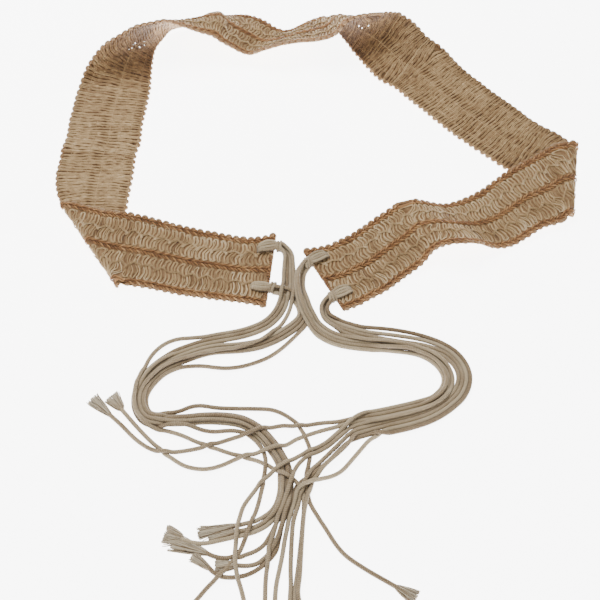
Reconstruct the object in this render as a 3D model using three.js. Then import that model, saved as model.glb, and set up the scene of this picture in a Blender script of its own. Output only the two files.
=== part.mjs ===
// A tie belt of plaited raffia, lying on a flat surface.
// One ribbon, folded flat at the left and right and twisted over itself at the back, with four
// bundles of soft cotton cord hitched through the corners of its two ends.
// Millimetres, +Z up. The belt rests on z = 0. The tables give places on the surface it lies on,
// measured from the middle of the whole lay, and the group at the end moves them to the origin.

import * as THREE from 'three';

// Driving sizes
const ORIGIN = [13.1, 115.1];        // middle of the band's own outline, in the tables' frame
const BAND_WIDTH = 50;
const STRAW_HALF = 0.8;              // half thickness of the looped straw
const BRAID_RISE = 1.8;              // a braid's outer face above the band's middle surface
const CENTRE_HALF = 2.8;             // half width of the centre braid
const STRAW_EDGE = 17.5;             // where the straw strip meets the edging braid
const SEAM = 0.3;                    // clearance between pieces that touch
const STRIP_GAP = 0.5;               // the same between strips, which twist with the band
const FOLD_RADIUS = 1.8;             // middle surface at a flat fold
const FOLD_TURNS = 4;                // facets round a fold

const CORD = 2.5;                    // diameter of one cotton cord
const CORD_SIDES = 8;
const CORD_STEP = 7.5;               // length of one facet of a loose cord
const CORD_REST = 1.36;              // height of a cord's middle where it lies on the surface
const CORD_PITCH = 2.95;             // between the middles of two cords that cross
const LAY_STEP = 1;                  // spacing of the samples that find crossings
const HUMP_RADIUS = 20;              // how gently a cord comes down from a crossing

const degrees = (angle) => angle * Math.PI / 180;
const material = (color, roughness) => new THREE.MeshStandardMaterial({ color, roughness, metalness: 0 });
const straw = material(0xb9a27c, 0.75);
const braid = material(0xa5673b, 0.7);
const cotton = material(0xb9ac96, 0.85);

const belt = new THREE.Group();

function addPiece(name, geometry, finish) {
  const mesh = new THREE.Mesh(geometry, finish);
  mesh.name = name;
  belt.add(mesh);
}

// A closed body through rings of corners, each ring anticlockwise seen from the far end.
// Opposite sides of a ring are divided along parallel lines, so that a twisted strip keeps its
// thickness and two strips side by side keep their gap.
function loft(rings) {
  const corners = rings[0].length;
  const positions = rings.flat().flatMap((point) => [point.x, point.y, point.z]);
  const faces = [];
  for (let ring = 0; ring < rings.length - 1; ring += 1) {
    for (let corner = 0; corner < corners; corner += 1) {
      const next = (corner + 1) % corners;
      const a = ring * corners + corner;
      const b = ring * corners + next;
      if (corner < corners / 2) faces.push(a, b, b + corners, a, b + corners, a + corners);
      else faces.push(a, b, a + corners, b, b + corners, a + corners);
    }
  }
  const last = (rings.length - 1) * corners;
  for (let corner = 1; corner < corners - 1; corner += 1) {
    faces.push(0, corner + 1, corner);
    faces.push(last, last + corner, last + corner + 1);
  }
  const geometry = new THREE.BufferGeometry();
  geometry.setAttribute('position', new THREE.Float32BufferAttribute(positions, 3));
  geometry.setIndex(faces);
  return geometry;
}

// The band, followed from its left end round to its right end.
// Each row is one straight line across the ribbon: its middle, the heading of the line from the
// lower edge to the upper edge, how far the upper edge is tipped up, and the line's length.
const BAND_ROWS = [
  // x, y, z, heading, rise, span
  { at: 'left front panel', rows: [
    [-18, 20, 0.8, 82, 0, 48], [-27, 20.3, 0.8, 83, 0, 47.5], [-36, 21, 0.8, 83, 0, 47],
    [-51, 23.4, 0.8, 80, 0, 48], [-66, 26, 1.0, 78, 0, 49], [-80, 29.2, 1.4, 78, 0, 49.5],
    [-95, 33, 2.2, 79, 0, 50], [-107, 35.4, 3.9, 93, 0, 52], [-116, 37.2, 4.6, 108, 0, 57]] },
  { at: 'left fold', fold: -1, rows: [[-130, 41, 5.4, 126, 0, 73]] },
  { at: 'left side', rows: [
    [-133, 60, 1.8, 140, 0, 62], [-134, 73, 1.8, 149, 0, 57], [-134, 86, 1.8, 158, 0, 54],
    [-133, 98, 1.8, 165, 0, 52], [-133, 110, 1.8, 172, 0, 51], [-131, 123, 1.8, 174, 0, 51],
    [-131, 136, 1.8, 175, 0, 51], [-130, 147, 1.9, 178, 0, 51], [-129, 158, 2.4, 180, 1, 51]] },
  { at: 'left roll', rows: [
    [-128, 165, 3.1, 180, 2.5, 50], [-127, 172, 4.4, 181, 6, 48], [-123, 184, 10.2, 197, 21, 44],
    [-117, 194, 14.6, 215, 34, 44], [-109.5, 201, 16.6, 228, 39, 45.5], [-102, 208, 17.8, 236, 40, 47],
    [-92, 211, 18.2, 237, 40, 47.5], [-82, 214, 18.0, 236, 39, 48], [-72, 215, 16.6, 238, 34, 49.5],
    [-63, 216, 14.9, 240, 28, 51]] },
  { at: 'back', rows: [
    [-50, 217, 11.4, 239, 21, 50], [-38, 213, 8.4, 242, 15, 47], [-27, 208, 5.9, 242, 11, 40],
    [-18, 206, 8.4, 247, 21, 38], [-8, 207, 10.7, 258, 28, 40], [2, 211, 10.3, 264, 26, 40],
    [13, 213, 11.9, 269, 26, 47]] },
  { at: 'right roll', rows: [
    [23, 214, 14.8, 274, 28, 51], [30, 215, 18.4, 279, 40, 48], [38, 214, 19.0, 296, 50, 43],
    [42, 210, 19.1, 320, 53, 42], [44.5, 209, 18.1, 341, 51.5, 40], [47, 208, 16.8, 361, 49, 39],
    [51, 207, 15.2, 378, 41, 40], [55, 206, 13.5, 391, 33, 42], [64, 200, 9.6, 398, 19, 47]] },
  { at: 'right side', rows: [
    [72, 192, 6.2, 402, 9, 50], [83, 185, 3.9, 405, 4, 51], [91, 175.5, 2.9, 406, 2, 50],
    [100, 165, 2.0, 406, 0, 49], [109, 155, 1.8, 405, 0, 49], [118, 145, 1.8, 404, 0, 49],
    [129, 134, 1.8, 404, 0, 48.5], [139, 124, 1.8, 404, 0, 47], [148, 116, 1.8, 407, 0, 47],
    [156, 110, 1.8, 413, 0, 48], [166, 101.5, 1.8, 424, 0, 52]] },
  { at: 'right fold', fold: 1, rows: [[176, 93, 1.8, 439, 0, 59]] },
  { at: 'right front panel', rows: [
    [169, 89, 5.0, 450, 0, 58], [162, 84, 4.6, 460, 0, 54], [153, 78, 4.4, 464, 0, 49],
    [145, 74, 4.2, 469, 0, 47], [134, 66, 2.9, 469, 0, 47], [123, 58, 2.0, 469, -1, 46],
    [111, 53, 3.2, 473, -5, 43], [101, 50, 7.4, 475, -15, 43], [91, 48, 11.8, 476, -16, 45],
    [81, 47, 14.0, 476, -8, 42], [73, 47, 10.5, 478, 1, 41], [65, 42, 5.5, 477, 4, 44],
    [54, 35, 2.0, 473, 0, 47], [41, 25, 1.3, 475, -1, 47], [33, 21, 0.8, 475, 0, 47],
    [26, 17, 0.8, 474, 0, 47], [15, 14, 0.8, 480, 0, 49]] },
];

function bandRow([x, y, z, heading, rise, span]) {
  const [turn, tip] = [degrees(heading), degrees(rise)];
  const across = new THREE.Vector3(
    Math.cos(turn) * Math.cos(tip), Math.sin(turn) * Math.cos(tip), Math.sin(tip));
  return { middle: new THREE.Vector3(x, y, z), across, span };
}

// A flat fold: the row goes round a half circle beside its fold line, downwards or upwards
function foldRows(row, way) {
  const line = bandRow(row);
  const outward = new THREE.Vector3(0, 0, 1).cross(line.across).multiplyScalar(way === -1 ? 1 : -1);
  const centre = line.middle.clone();
  centre.z += way * FOLD_RADIUS;
  return Array.from({ length: FOLD_TURNS + 1 }, (unused, turn) => {
    const angle = Math.PI * turn / FOLD_TURNS;
    const normal = outward.clone().multiplyScalar(Math.sin(angle));
    normal.z -= way * Math.cos(angle);
    return { ...line, middle: centre.clone().addScaledVector(normal, FOLD_RADIUS), normal };
  });
}

const bandRows = BAND_ROWS.flatMap(({ fold, rows }) =>
  rows.flatMap((row) => (fold ? foldRows(row, fold) : [bandRow(row)])));

bandRows.forEach((row, place) => {
  if (row.normal) return;
  const before = bandRows[Math.max(place - 1, 0)].middle;
  const after = bandRows[Math.min(place + 1, bandRows.length - 1)].middle;
  row.normal = row.across.clone().cross(after.clone().sub(before)).normalize();
});

// One lengthwise strip of the band, from one place across its width to another
function bandStrip(lower, upper, top) {
  return loft(bandRows.map(({ middle, across, span, normal }) => {
    const corner = (side, height) => middle.clone()
      .addScaledVector(across, side * span / BAND_WIDTH)
      .addScaledVector(normal, height);
    return [corner(lower, -STRAW_HALF), corner(lower, top), corner(upper, top), corner(upper, -STRAW_HALF)];
  }));
}

const BAND_STRIPS = [
  // name, lower side, upper side, top of its outer face, finish
  ['edge_braid_lower', -BAND_WIDTH / 2, -STRAW_EDGE - STRIP_GAP, BRAID_RISE, braid],
  ['straw_strip_lower', -STRAW_EDGE, -CENTRE_HALF - STRIP_GAP, STRAW_HALF, straw],
  ['centre_braid', -CENTRE_HALF, CENTRE_HALF, BRAID_RISE, braid],
  ['straw_strip_upper', CENTRE_HALF + STRIP_GAP, STRAW_EDGE, STRAW_HALF, straw],
  ['edge_braid_upper', STRAW_EDGE + STRIP_GAP, BAND_WIDTH / 2, BRAID_RISE, braid],
];
for (const [name, lower, upper, top, finish] of BAND_STRIPS) {
  addPiece(name, bandStrip(lower, upper, top), finish);
}

// A line of straight facets, so that an extruded cord turns exactly at the given points
class FacetLine extends THREE.Curve {
  constructor(points) {
    super();
    this.points = points;
  }

  getPoint(t, target = new THREE.Vector3()) {
    const place = t * (this.points.length - 1);
    const before = Math.min(Math.floor(place), this.points.length - 2);
    return target.lerpVectors(this.points[before], this.points[before + 1], place - before);
  }

  getUtoTmapping(u) {
    return u;
  }
}

// The eight-sided outline of a cord or of a flattened bundle, its height along X
function cordSection(width, height) {
  const start = degrees(180 / CORD_SIDES);
  return new THREE.Shape(Array.from({ length: CORD_SIDES }, (unused, side) => {
    const angle = start + 2 * Math.PI * side / CORD_SIDES;
    const reach = 1 / Math.cos(start);
    return new THREE.Vector2(
      Math.cos(angle) * height / 2 * reach, Math.sin(angle) * width / 2 * reach);
  }));
}

function sweep(section, points) {
  return new THREE.ExtrudeGeometry(section, {
    steps: points.length - 1, curveSegments: 1, bevelEnabled: false, extrudePath: new FacetLine(points) });
}

// Smooths a hand-laid route and divides it into even steps
function evenSteps(route, step) {
  const curve = new THREE.CatmullRomCurve3(
    route.map(([x, y, z = 0]) => new THREE.Vector3(x, y, z)), false, 'centripetal');
  return curve.getSpacedPoints(Math.max(2, Math.round(curve.getLength() / step)));
}

// Hitches: four cords come up through a hole, lie on the face as far as the band's end and pass
// under a cross wrap just beyond it
const HITCH_LOOP = { width: 5.2, height: 2.2, length: 10.5 };
const HITCH_WRAP = { width: 6.4, height: 4.2, length: 3.8 };
const HITCH_WRAP_START = 1.2;        // beyond the band's end, which crosses the cords at a slant
const HITCHES = [
  // name, x and y where the cords cross the band's end, heading of the cords, top of what they cross
  ['left_upper', -15.3, 37, 0, STRAW_HALF + BRAID_RISE],
  ['left_lower', -19.4, 7.5, -7, 2 * STRAW_HALF],
  ['right_upper', 7.2, 27, 210, STRAW_HALF + BRAID_RISE],
  ['right_lower', 21.6, 1.9, 209, 2 * STRAW_HALF],
];
for (const [name, x, y, heading, top] of HITCHES) {
  const along = (distance, z) => new THREE.Vector3(
    x + distance * Math.cos(degrees(heading)), y + distance * Math.sin(degrees(heading)), z);
  const height = top + SEAM + HITCH_LOOP.height / 2;
  const face = [-HITCH_LOOP.length, HITCH_WRAP_START - SEAM].map((place) => along(place, height));
  const wrap = [HITCH_WRAP_START, HITCH_WRAP_START + HITCH_WRAP.length].map(
    (place) => along(place, HITCH_WRAP.height / 2 + 0.2));
  addPiece(`hitch_loop_${name}`, sweep(cordSection(HITCH_LOOP.width, HITCH_LOOP.height), face), cotton);
  addPiece(`hitch_wrap_${name}`, sweep(cordSection(HITCH_WRAP.width, HITCH_WRAP.height), wrap), cotton);
}

// The bundles: four cords together, from each wrap round their loop to where the cords part.
// The lower left bundle passes under both upper ones.
const BUNDLES = [
  { name: 'left_upper', width: 4.8, height: 5.4, route: [
    [-7.6, 35.2, 3.2], [-7.2, 31, 3.8], [-6.9, 25, 5], [-6.9, 16.5, 7.2], [-7, 7, 8.8],
    [-8.9, -3.5, 8.2], [-14, -11.5, 5.8], [-22.5, -19.5, 3.6], [-32, -25.5, 3], [-45.5, -29.5, 3],
    [-58, -32, 3], [-71.5, -36.5, 3], [-82.5, -45, 3], [-89, -55.5, 3], [-92, -65, 3], [-91.5, -72.5, 3],
    [-87.5, -77.8, 3], [-81, -80.9, 3], [-74, -82.2, 3]] },
  { name: 'left_lower', width: 4.8, height: 5.4, route: [
    [-13.4, 6.5, 3], [-7, 4.5, 3], [-2, 0.5, 3], [1.4, -6, 3], [0.6, -13.5, 3], [-4, -20, 3], [-11, -26, 3],
    [-18.5, -30.5, 3], [-27.5, -34.5, 3], [-37.5, -36.9, 3], [-47.5, -39, 3], [-59, -42.5, 3],
    [-70, -46.8, 3], [-79, -53, 3], [-84.5, -60, 3], [-86.2, -67, 3], [-84, -72.2, 3], [-80, -75.2, 3],
    [-74, -76.6, 3]] },
  { name: 'right_upper', width: 6.8, height: 3.8, route: [
    [1.6, 21.5, 3.4], [-0.2, 14, 4.7], [-0.3, 6.5, 7.4], [0.8, 0, 9], [3, -7, 9], [6, -14, 7.6],
    [10.8, -20.8, 4.6], [18, -26.5, 2.5], [29, -30.5, 2.1], [41.5, -32.5, 2.1], [55.5, -34.5, 2.1],
    [66, -36, 2.1], [74.5, -40, 2.1], [80, -46, 2.1], [82, -53, 2.1], [79.5, -60, 2.1], [73.5, -66, 2.1],
    [63, -69.8, 2.1], [52, -72.5, 2.1], [41, -75.2, 2.1]] },
  { name: 'right_lower', width: 6, height: 3.8, route: [
    [16.2, -3.4, 2.1], [14.2, -6.2, 2.1], [13.8, -9.5, 2.1], [16.4, -13.8, 2.1], [22.5, -17.6, 2.1],
    [35.5, -22.4, 2.1], [52, -25.4, 2.1], [67, -27.4, 2.1], [79, -31.5, 2.1], [88.5, -37.5, 2.1],
    [93.5, -45.5, 2.1], [94, -53, 2.1], [90, -61, 2.1], [83, -68.4, 2.1], [73.2, -74.6, 2.1],
    [62, -78.8, 2.1], [51, -81.4, 2.1], [41, -83.8, 2.1]] },
];
for (const { name, width, height, route } of BUNDLES) {
  addPiece(`tie_bundle_${name}`, sweep(cordSection(width, height), evenSteps(route, 8.5)), cotton);
}

// The loose ends, in the order in which they were laid: each lies over the ones before it.
// A route starts at its bundle, and the tuft at its tip points along its last stretch.
const TAILS = [
  { name: 'right_8', tuft: [10, 5], route: [
    [40, -87], [30.5, -87.5], [25.5, -91], [20.5, -96], [14.5, -102], [8, -107.5], [2, -112.5],
    [-2, -117.5], [-5.5, -123], [-7.5, -129.5], [-9.5, -136], [-11, -143], [-14, -149.5], [-17.5, -155],
    [-22.5, -159], [-29, -162], [-36, -163], [-43, -163.2]] },
  { name: 'left_8', tuft: [9, 5], route: [
    [-72.9, -75.5], [-64, -74.5], [-55.5, -74], [-40, -74], [-30, -75], [-23.5, -78], [-17.5, -82],
    [-13, -87.5], [-9.5, -94], [-6.5, -101], [-5, -107.5], [-5, -114], [-6, -121.5], [-7.5, -128],
    [-9, -135], [-11, -141.5], [-13.5, -148], [-17.5, -153], [-23, -156], [-30, -157.5], [-36.5, -157.5],
    [-43, -157]] },
  { name: 'left_4', tuft: [11, 8], route: [
    [-72.9, -79], [-63.5, -80], [-55.5, -79.5], [-43, -79.5], [-33, -80], [-27, -83], [-21.5, -87.5],
    [-16.5, -93], [-12, -99.5], [-9.5, -106], [-8.5, -112.5], [-9.5, -118.5], [-12, -123.5],
    [-16.5, -128], [-21.5, -133], [-26, -137.5], [-31, -141.5], [-36.5, -144.5], [-43.5, -146.5],
    [-50, -146.8], [-55.5, -145.4], [-61, -142.8]] },
  { name: 'left_2', tuft: [17, 5], route: [
    [-72.9, -81.5], [-63.5, -85], [-55, -85], [-45, -84.5], [-37.5, -85.5], [-31, -89], [-24.5, -94],
    [-18.5, -99.5], [-14.5, -105], [-12, -110.5], [-12, -115.5], [-14.5, -120], [-19.5, -123.5],
    [-25, -128.5], [-29, -132.5], [-34.5, -134.5]] },
  { name: 'left_5', tuft: [16, 7], route: [
    [-72.9, -77.5], [-64, -77], [-55.5, -77], [-41.5, -76.5], [-31.5, -77.5], [-25, -80.5],
    [-19.5, -85], [-15, -90.5], [-10.5, -97], [-7.5, -103.5], [-6.5, -110], [-7, -116], [-8, -122.5],
    [-10, -129], [-12.5, -135], [-15, -141], [-18, -145.5], [-22.5, -149], [-28, -151], [-34.5, -152.5],
    [-40.5, -152.6], [-45, -152], [-49, -151.2]] },
  { name: 'left_3', tuft: [12, 4], route: [
    [-72.9, -80], [-63.5, -82.5], [-55, -82], [-44, -82], [-35.5, -83], [-29, -86], [-22.5, -90.5],
    [-17.5, -96.5], [-13, -102.5], [-10.5, -108.5], [-10.5, -114], [-12.5, -119.5], [-16.5, -124.5],
    [-21, -130], [-25, -135], [-29.5, -138.8], [-35.5, -140.4]] },
  { name: 'left_6', tuft: [14, 6.5], route: [
    [-72.9, -84.8], [-65, -86.5], [-56, -89], [-47.5, -93], [-41, -95.5], [-35, -97.5],
    [-29, -99], [-20, -102], [-13, -106], [-6, -110], [-1.5, -114.5], [1, -119.5], [1.5, -126.5],
    [1.5, -134], [0.5, -142], [-1, -150], [-2, -158.5], [-2, -166], [0.5, -173.5], [5, -183],
    [8.5, -195]] },
  { name: 'left_7', tuft: [14, 6.5], route: [
    [-72.9, -83], [-63, -88], [-55.5, -86.5], [-47.5, -85], [-41.5, -84], [-35, -84], [-28.5, -87.5],
    [-23.5, -93], [-21, -98.5], [-19.5, -104], [-19, -108], [-20, -113.5], [-21, -120], [-23, -128],
    [-25.5, -135], [-28.5, -143], [-31, -149.5], [-34, -154], [-37.5, -158], [-41.5, -162],
    [-47, -167.5], [-52, -173.5], [-57.5, -179], [-63, -185]] },
  { name: 'right_3', tuft: [13, 6], route: [
    [40, -76.5], [29.5, -78.5], [19.5, -81.5], [12, -83.5], [4.5, -86], [-2, -88.5], [-8.5, -92.5],
    [-16.5, -94.5], [-25, -97], [-34, -99.5], [-42.5, -103.5], [-51, -105.5], [-61.5, -104], [-70, -99],
    [-78.5, -92.5], [-88, -83.5], [-98.5, -72]] },
  { name: 'left_1', tuft: [11, 8], route: [
    [-72.9, -74], [-64, -71.5], [-56, -70.5], [-46.5, -70], [-36.5, -70], [-24.5, -70.5], [-16.5, -71],
    [-10.5, -73], [-5, -76.5], [-1, -80], [2.5, -87], [5.5, -94], [5, -100.5], [4, -108.5], [3.5, -117],
    [5, -123.5], [9.5, -131.5], [14, -138.5], [18, -145], [23, -151], [33, -158], [42.5, -163.5],
    [49.5, -167.5]] },
  { name: 'right_2', tuft: [18, 7], route: [
    [40, -74], [30, -76.5], [24, -78], [12, -79], [-1, -81], [-9.5, -80.5], [-16.5, -82], [-26, -84.5],
    [-35.5, -87.5], [-49, -92], [-61.5, -95], [-71.5, -96], [-80.5, -94.5], [-89.5, -89], [-99, -80],
    [-106.5, -73.5]] },
  { name: 'right_5', tuft: [14, 6], route: [
    [40, -80.5], [30.5, -83], [24.5, -88], [18.5, -94], [12, -100.5], [6, -106.5], [1.5, -113],
    [-1, -119.5], [-2, -126], [-3.5, -133.5], [-4, -141.5], [-4.5, -150], [-4, -158.5], [-4, -166],
    [-5, -173.5], [-3.5, -183], [-1, -191]] },
  { name: 'right_6', tuft: [14, 6.5], route: [
    [40, -83], [31.5, -85.5], [26.5, -91], [21, -96.5], [15, -102], [9.5, -107.5], [6, -113.5],
    [4, -120.5], [2.5, -126.5], [1.5, -135.5], [0.5, -145], [0.5, -153.5], [1, -162], [4, -173.5],
    [10, -182.5], [18, -190]] },
  { name: 'right_4', tuft: [15, 6.5], route: [
    [40, -78.5], [29.5, -80.5], [22.5, -85.5], [15.5, -92], [8, -96.5], [1, -100.5], [-3, -106],
    [-5, -112.5], [-6.5, -118], [-8.5, -124], [-11, -130], [-13, -137.5], [-15, -143.5], [-16, -150.5],
    [-17, -158.5], [-17.5, -166], [-17.5, -173.5], [-18, -183], [-18.5, -191]] },
  { name: 'right_1', tuft: [14, 6.5], route: [
    [40, -72], [31.5, -75.5], [27.5, -78.5], [21, -85], [14, -91], [8, -94], [1.5, -97], [-6, -101.5],
    [-12.5, -106], [-17, -109.5], [-21, -113.5], [-26, -120], [-30, -126], [-32, -134], [-33, -143],
    [-33, -153], [-32, -161], [-29.5, -168.5], [-27.5, -176.5], [-27, -187]] },
  { name: 'right_7', tuft: [15, 6], route: [
    [40, -85], [38.5, -88.5], [33.5, -94], [27.5, -101], [22.5, -106.5], [17, -109.5], [10, -111],
    [3.5, -113.5], [-1.5, -117], [-4, -123], [-5.5, -129.5], [-6.5, -136.5], [-8, -144], [-9, -151],
    [-10.5, -158.5], [-12, -166], [-12.5, -173.5], [-11.5, -183], [-9, -197]] },
];

// How much lower a cord may be at a distance along it from a crossing
const drop = (distance) => distance * distance / (2 * HUMP_RADIUS);

// Samples along straight facets, with the place of each between its two corners
function samples(points) {
  return points.slice(1).flatMap((end, facet) => {
    const start = points[facet];
    const count = Math.ceil(start.distanceTo(end) / LAY_STEP);
    return Array.from({ length: count }, (unused, step) => {
      const share = (step + 0.5) / count;
      return { facet, point: start.clone().lerp(end, share) };
    });
  });
}

// Lays a cord over what is already there: a corner is as high as the facets beside it need
function layOver(points, laid) {
  const needed = points.map(() => CORD_REST);
  for (const { facet, point } of samples(points)) {
    for (const below of laid) {
      const apart = Math.hypot(below.x - point.x, below.y - point.y);
      if (apart >= CORD_PITCH) continue;
      const height = below.z + Math.sqrt(CORD_PITCH ** 2 - apart ** 2);
      needed[facet] = Math.max(needed[facet], height);
      needed[facet + 1] = Math.max(needed[facet + 1], height);
    }
  }
  return points.map((point, here) => {
    const heights = needed.map((height, there) => height - drop(Math.abs(here - there) * CORD_STEP));
    return new THREE.Vector3(point.x, point.y, Math.max(...heights));
  });
}

// The frayed tip: a flat flare that lies on the surface or on what is below the cord's end
const TUFT_STATIONS = [
  // place along it, share of its full width, height
  [0, 0.4, CORD],
  [0.45, 0.8, 3.2],
  [1, 1, 2],
];
function tuftGeometry(neck, heading, length, width) {
  const side = new THREE.Vector3(-heading.y, heading.x, 0);
  return loft(TUFT_STATIONS.map(([place, share, height]) => {
    const middle = neck.clone().addScaledVector(heading, place * length);
    middle.z = neck.z - CORD_REST + height / 2 + 0.05;
    return Array.from({ length: CORD_SIDES }, (unused, corner) => {
      const angle = 2 * Math.PI * (corner + 0.5) / CORD_SIDES;
      return middle.clone()
        .addScaledVector(side, Math.cos(angle) * width * share / 2)
        .setZ(middle.z + Math.sin(angle) * height / 2);
    });
  }));
}

const laid = [];
for (const { name, tuft: [length, width], route } of TAILS) {
  const points = layOver(evenSteps(route, CORD_STEP), laid);
  laid.push(...samples(points).map(({ point }) => point));
  addPiece(`tie_tail_${name}`, sweep(cordSection(CORD, CORD), points), cotton);
  const [before, tip] = points.slice(-2);
  const heading = tip.clone().sub(before).setZ(0).normalize();
  const neck = tip.clone().addScaledVector(heading, 2 * SEAM);
  addPiece(`tuft_${name}`, tuftGeometry(neck, heading, length, width), cotton);
}

belt.position.set(-ORIGIN[0], -ORIGIN[1], 0);

export default belt;
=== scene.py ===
# A tie belt of plaited raffia with cotton tie cords, lying on a pale table.
# The order follows the making: the table and camera, the sixteen cords as they settled on each
# other, their frayed tips, the four hitches, and then the band from its sheet of painted shade to
# its edges.

import math

import bpy
import numpy as np
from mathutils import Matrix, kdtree


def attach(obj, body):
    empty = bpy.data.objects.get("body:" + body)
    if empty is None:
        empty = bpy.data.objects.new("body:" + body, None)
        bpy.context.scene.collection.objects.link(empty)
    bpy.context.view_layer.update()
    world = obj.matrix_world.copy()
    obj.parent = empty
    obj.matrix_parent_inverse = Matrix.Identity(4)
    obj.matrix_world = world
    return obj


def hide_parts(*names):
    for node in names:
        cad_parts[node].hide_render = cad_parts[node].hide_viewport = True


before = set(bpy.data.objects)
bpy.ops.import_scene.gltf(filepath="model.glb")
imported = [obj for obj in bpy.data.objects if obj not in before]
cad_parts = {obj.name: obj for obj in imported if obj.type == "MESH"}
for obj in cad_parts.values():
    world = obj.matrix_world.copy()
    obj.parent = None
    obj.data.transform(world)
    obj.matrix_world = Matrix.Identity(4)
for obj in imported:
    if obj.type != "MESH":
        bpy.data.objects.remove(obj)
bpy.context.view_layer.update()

# The table, the camera and the lights
# The belt lies flat on a pale table. The camera looks down at it from the front at sixty degrees,
# and large soft lamps light it from above, a little from the back left.

BELT_ORIGIN = np.array([13.1, 115.1, 0.0])    # of the tables' frame, in millimetres
MM = 0.001
CAMERA_ELEVATION = math.radians(60.5)
CAMERA_DISTANCE = 525.0
CAMERA_LENS, CAMERA_SENSOR = 52.56, 36.0
CAMERA_NEAREST = 0.01
WHITE = (1.0, 1.0, 1.0, 1.0)
TABLE_GLOW, TABLE_HALF = 7.0, 3.0
ROOM_GLOW = 0.44


def placed(points):
    """Millimetres in the tables' frame to metres in the model's own"""
    return (np.asarray(points, float) - BELT_ORIGIN) * MM


def add_mesh(name, vertices, faces, material):
    """A smooth mesh object from arrays of corners and of faces with three or four corners"""
    mesh = bpy.data.meshes.new(name)
    corners = faces.shape[1]
    mesh.vertices.add(len(vertices))
    mesh.vertices.foreach_set("co", np.ascontiguousarray(vertices, np.float32).ravel())
    mesh.loops.add(faces.size)
    mesh.loops.foreach_set("vertex_index", faces.astype(np.int32).ravel())
    mesh.polygons.add(len(faces))
    mesh.polygons.foreach_set("loop_start", np.arange(0, faces.size, corners, dtype=np.int32))
    mesh.polygons.foreach_set("use_smooth", np.full(len(faces), True))
    mesh.update(calc_edges=True)
    mesh.validate()
    mesh.materials.append(material)
    piece = bpy.data.objects.new(name, mesh)
    bpy.context.collection.objects.link(piece)
    return piece


class Shade:
    """A socket in a material's node tree, on which sums are written as Python expressions"""

    def __init__(self, tree, socket=None):
        self.tree, self.socket = tree, socket

    def node(self, kind, settings, inputs, output=0):
        made = self.tree.nodes.new(kind)
        for setting, value in settings.items():
            if setting == "stops":
                while len(made.color_ramp.elements) < len(value):
                    made.color_ramp.elements.new(0.5)
                for element, (place, color) in zip(made.color_ramp.elements, value):
                    element.position, element.color = place, color
            else:
                setattr(made, setting, value)
        for socket, value in inputs.items():
            if isinstance(value, Shade):
                self.tree.links.new(value.socket, made.inputs[socket])
            else:
                made.inputs[socket].default_value = value
        return Shade(self.tree, made.outputs[output])

    def sum_node(self, operation, first, second):
        return self.node("ShaderNodeMath", {"operation": operation}, {0: first, 1: second})

    def __add__(self, other):
        return self.sum_node("ADD", self, other)

    __radd__ = __add__

    def __sub__(self, other):
        return self.sum_node("SUBTRACT", self, other)

    def __rsub__(self, other):
        return self.sum_node("SUBTRACT", other, self)

    def __mul__(self, other):
        return self.sum_node("MULTIPLY", self, other)

    __rmul__ = __mul__

    def mix(self, first, second):
        """A colour between two, by this value"""
        return self.node("ShaderNodeMix", {"data_type": "RGBA"}, {0: self, 6: first, 7: second}, 2)

    def ramp(self, *stops):
        """Colours along this value, each stop a place and a colour as on screen"""
        colors = [(place, srgb(*color)) for place, *color in stops]
        return self.node("ShaderNodeValToRGB", {"stops": colors}, {0: self})

    def noise(self, scale, detail=2.0):
        return self.node("ShaderNodeTexNoise", {}, {"Vector": self, "Scale": scale, "Detail": detail})

    def tone(self):
        """The tone stored at each corner of the piece"""
        return self.node("ShaderNodeAttribute", {"attribute_name": "tone"}, {}, 2)

    def bump(self, strength, distance):
        return self.node(
            "ShaderNodeBump", {}, {"Height": self, "Strength": strength, "Distance": distance})


def new_material(name, roughness, sheen=0.0):
    """A material, its shader, and the object coordinates that its patterns start from"""
    material = bpy.data.materials.new(name)
    material.use_nodes = True
    tree = material.node_tree
    shader = tree.nodes["Principled BSDF"]
    shader.inputs["Roughness"].default_value = roughness
    shader.inputs["Specular IOR Level"].default_value = 0.3
    shader.inputs["Sheen Weight"].default_value = sheen
    shader.inputs["Sheen Roughness"].default_value = 0.5
    return material, shader, Shade(tree).node("ShaderNodeTexCoord", {}, {}, 3)


def srgb(red, green, blue):
    """A colour given as on screen, 0 to 255, in the renderer's own values"""
    linear = [channel / 255 / 12.92 if channel < 11 else ((channel / 255 + 0.055) / 1.055) ** 2.4
              for channel in (red, green, blue)]
    return (*linear, 1.0)


table_material, table_shader, _ = new_material("pale_table", 0.9)
table_shader.inputs["Base Color"].default_value = srgb(252, 252, 252)
table_shader.inputs["Emission Color"].default_value = WHITE
table_shader.inputs["Emission Strength"].default_value = TABLE_GLOW
table = add_mesh(
    "table_top", TABLE_HALF * np.array([[-1, -1, 0], [1, -1, 0], [1, 1, 0], [-1, 1, 0]]),
    np.array([[0, 1, 2, 3]]), table_material)

camera_data = bpy.data.cameras.new("camera")
camera_data.lens = CAMERA_LENS
camera_data.sensor_width = CAMERA_SENSOR
camera_data.clip_start = CAMERA_NEAREST
camera = bpy.data.objects.new("camera", camera_data)
camera.location = placed([
    0, -CAMERA_DISTANCE * math.cos(CAMERA_ELEVATION), CAMERA_DISTANCE * math.sin(CAMERA_ELEVATION)])
camera.rotation_euler = (math.pi / 2 - CAMERA_ELEVATION, 0, 0)
bpy.context.collection.objects.link(camera)
bpy.context.scene.camera = camera

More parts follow.
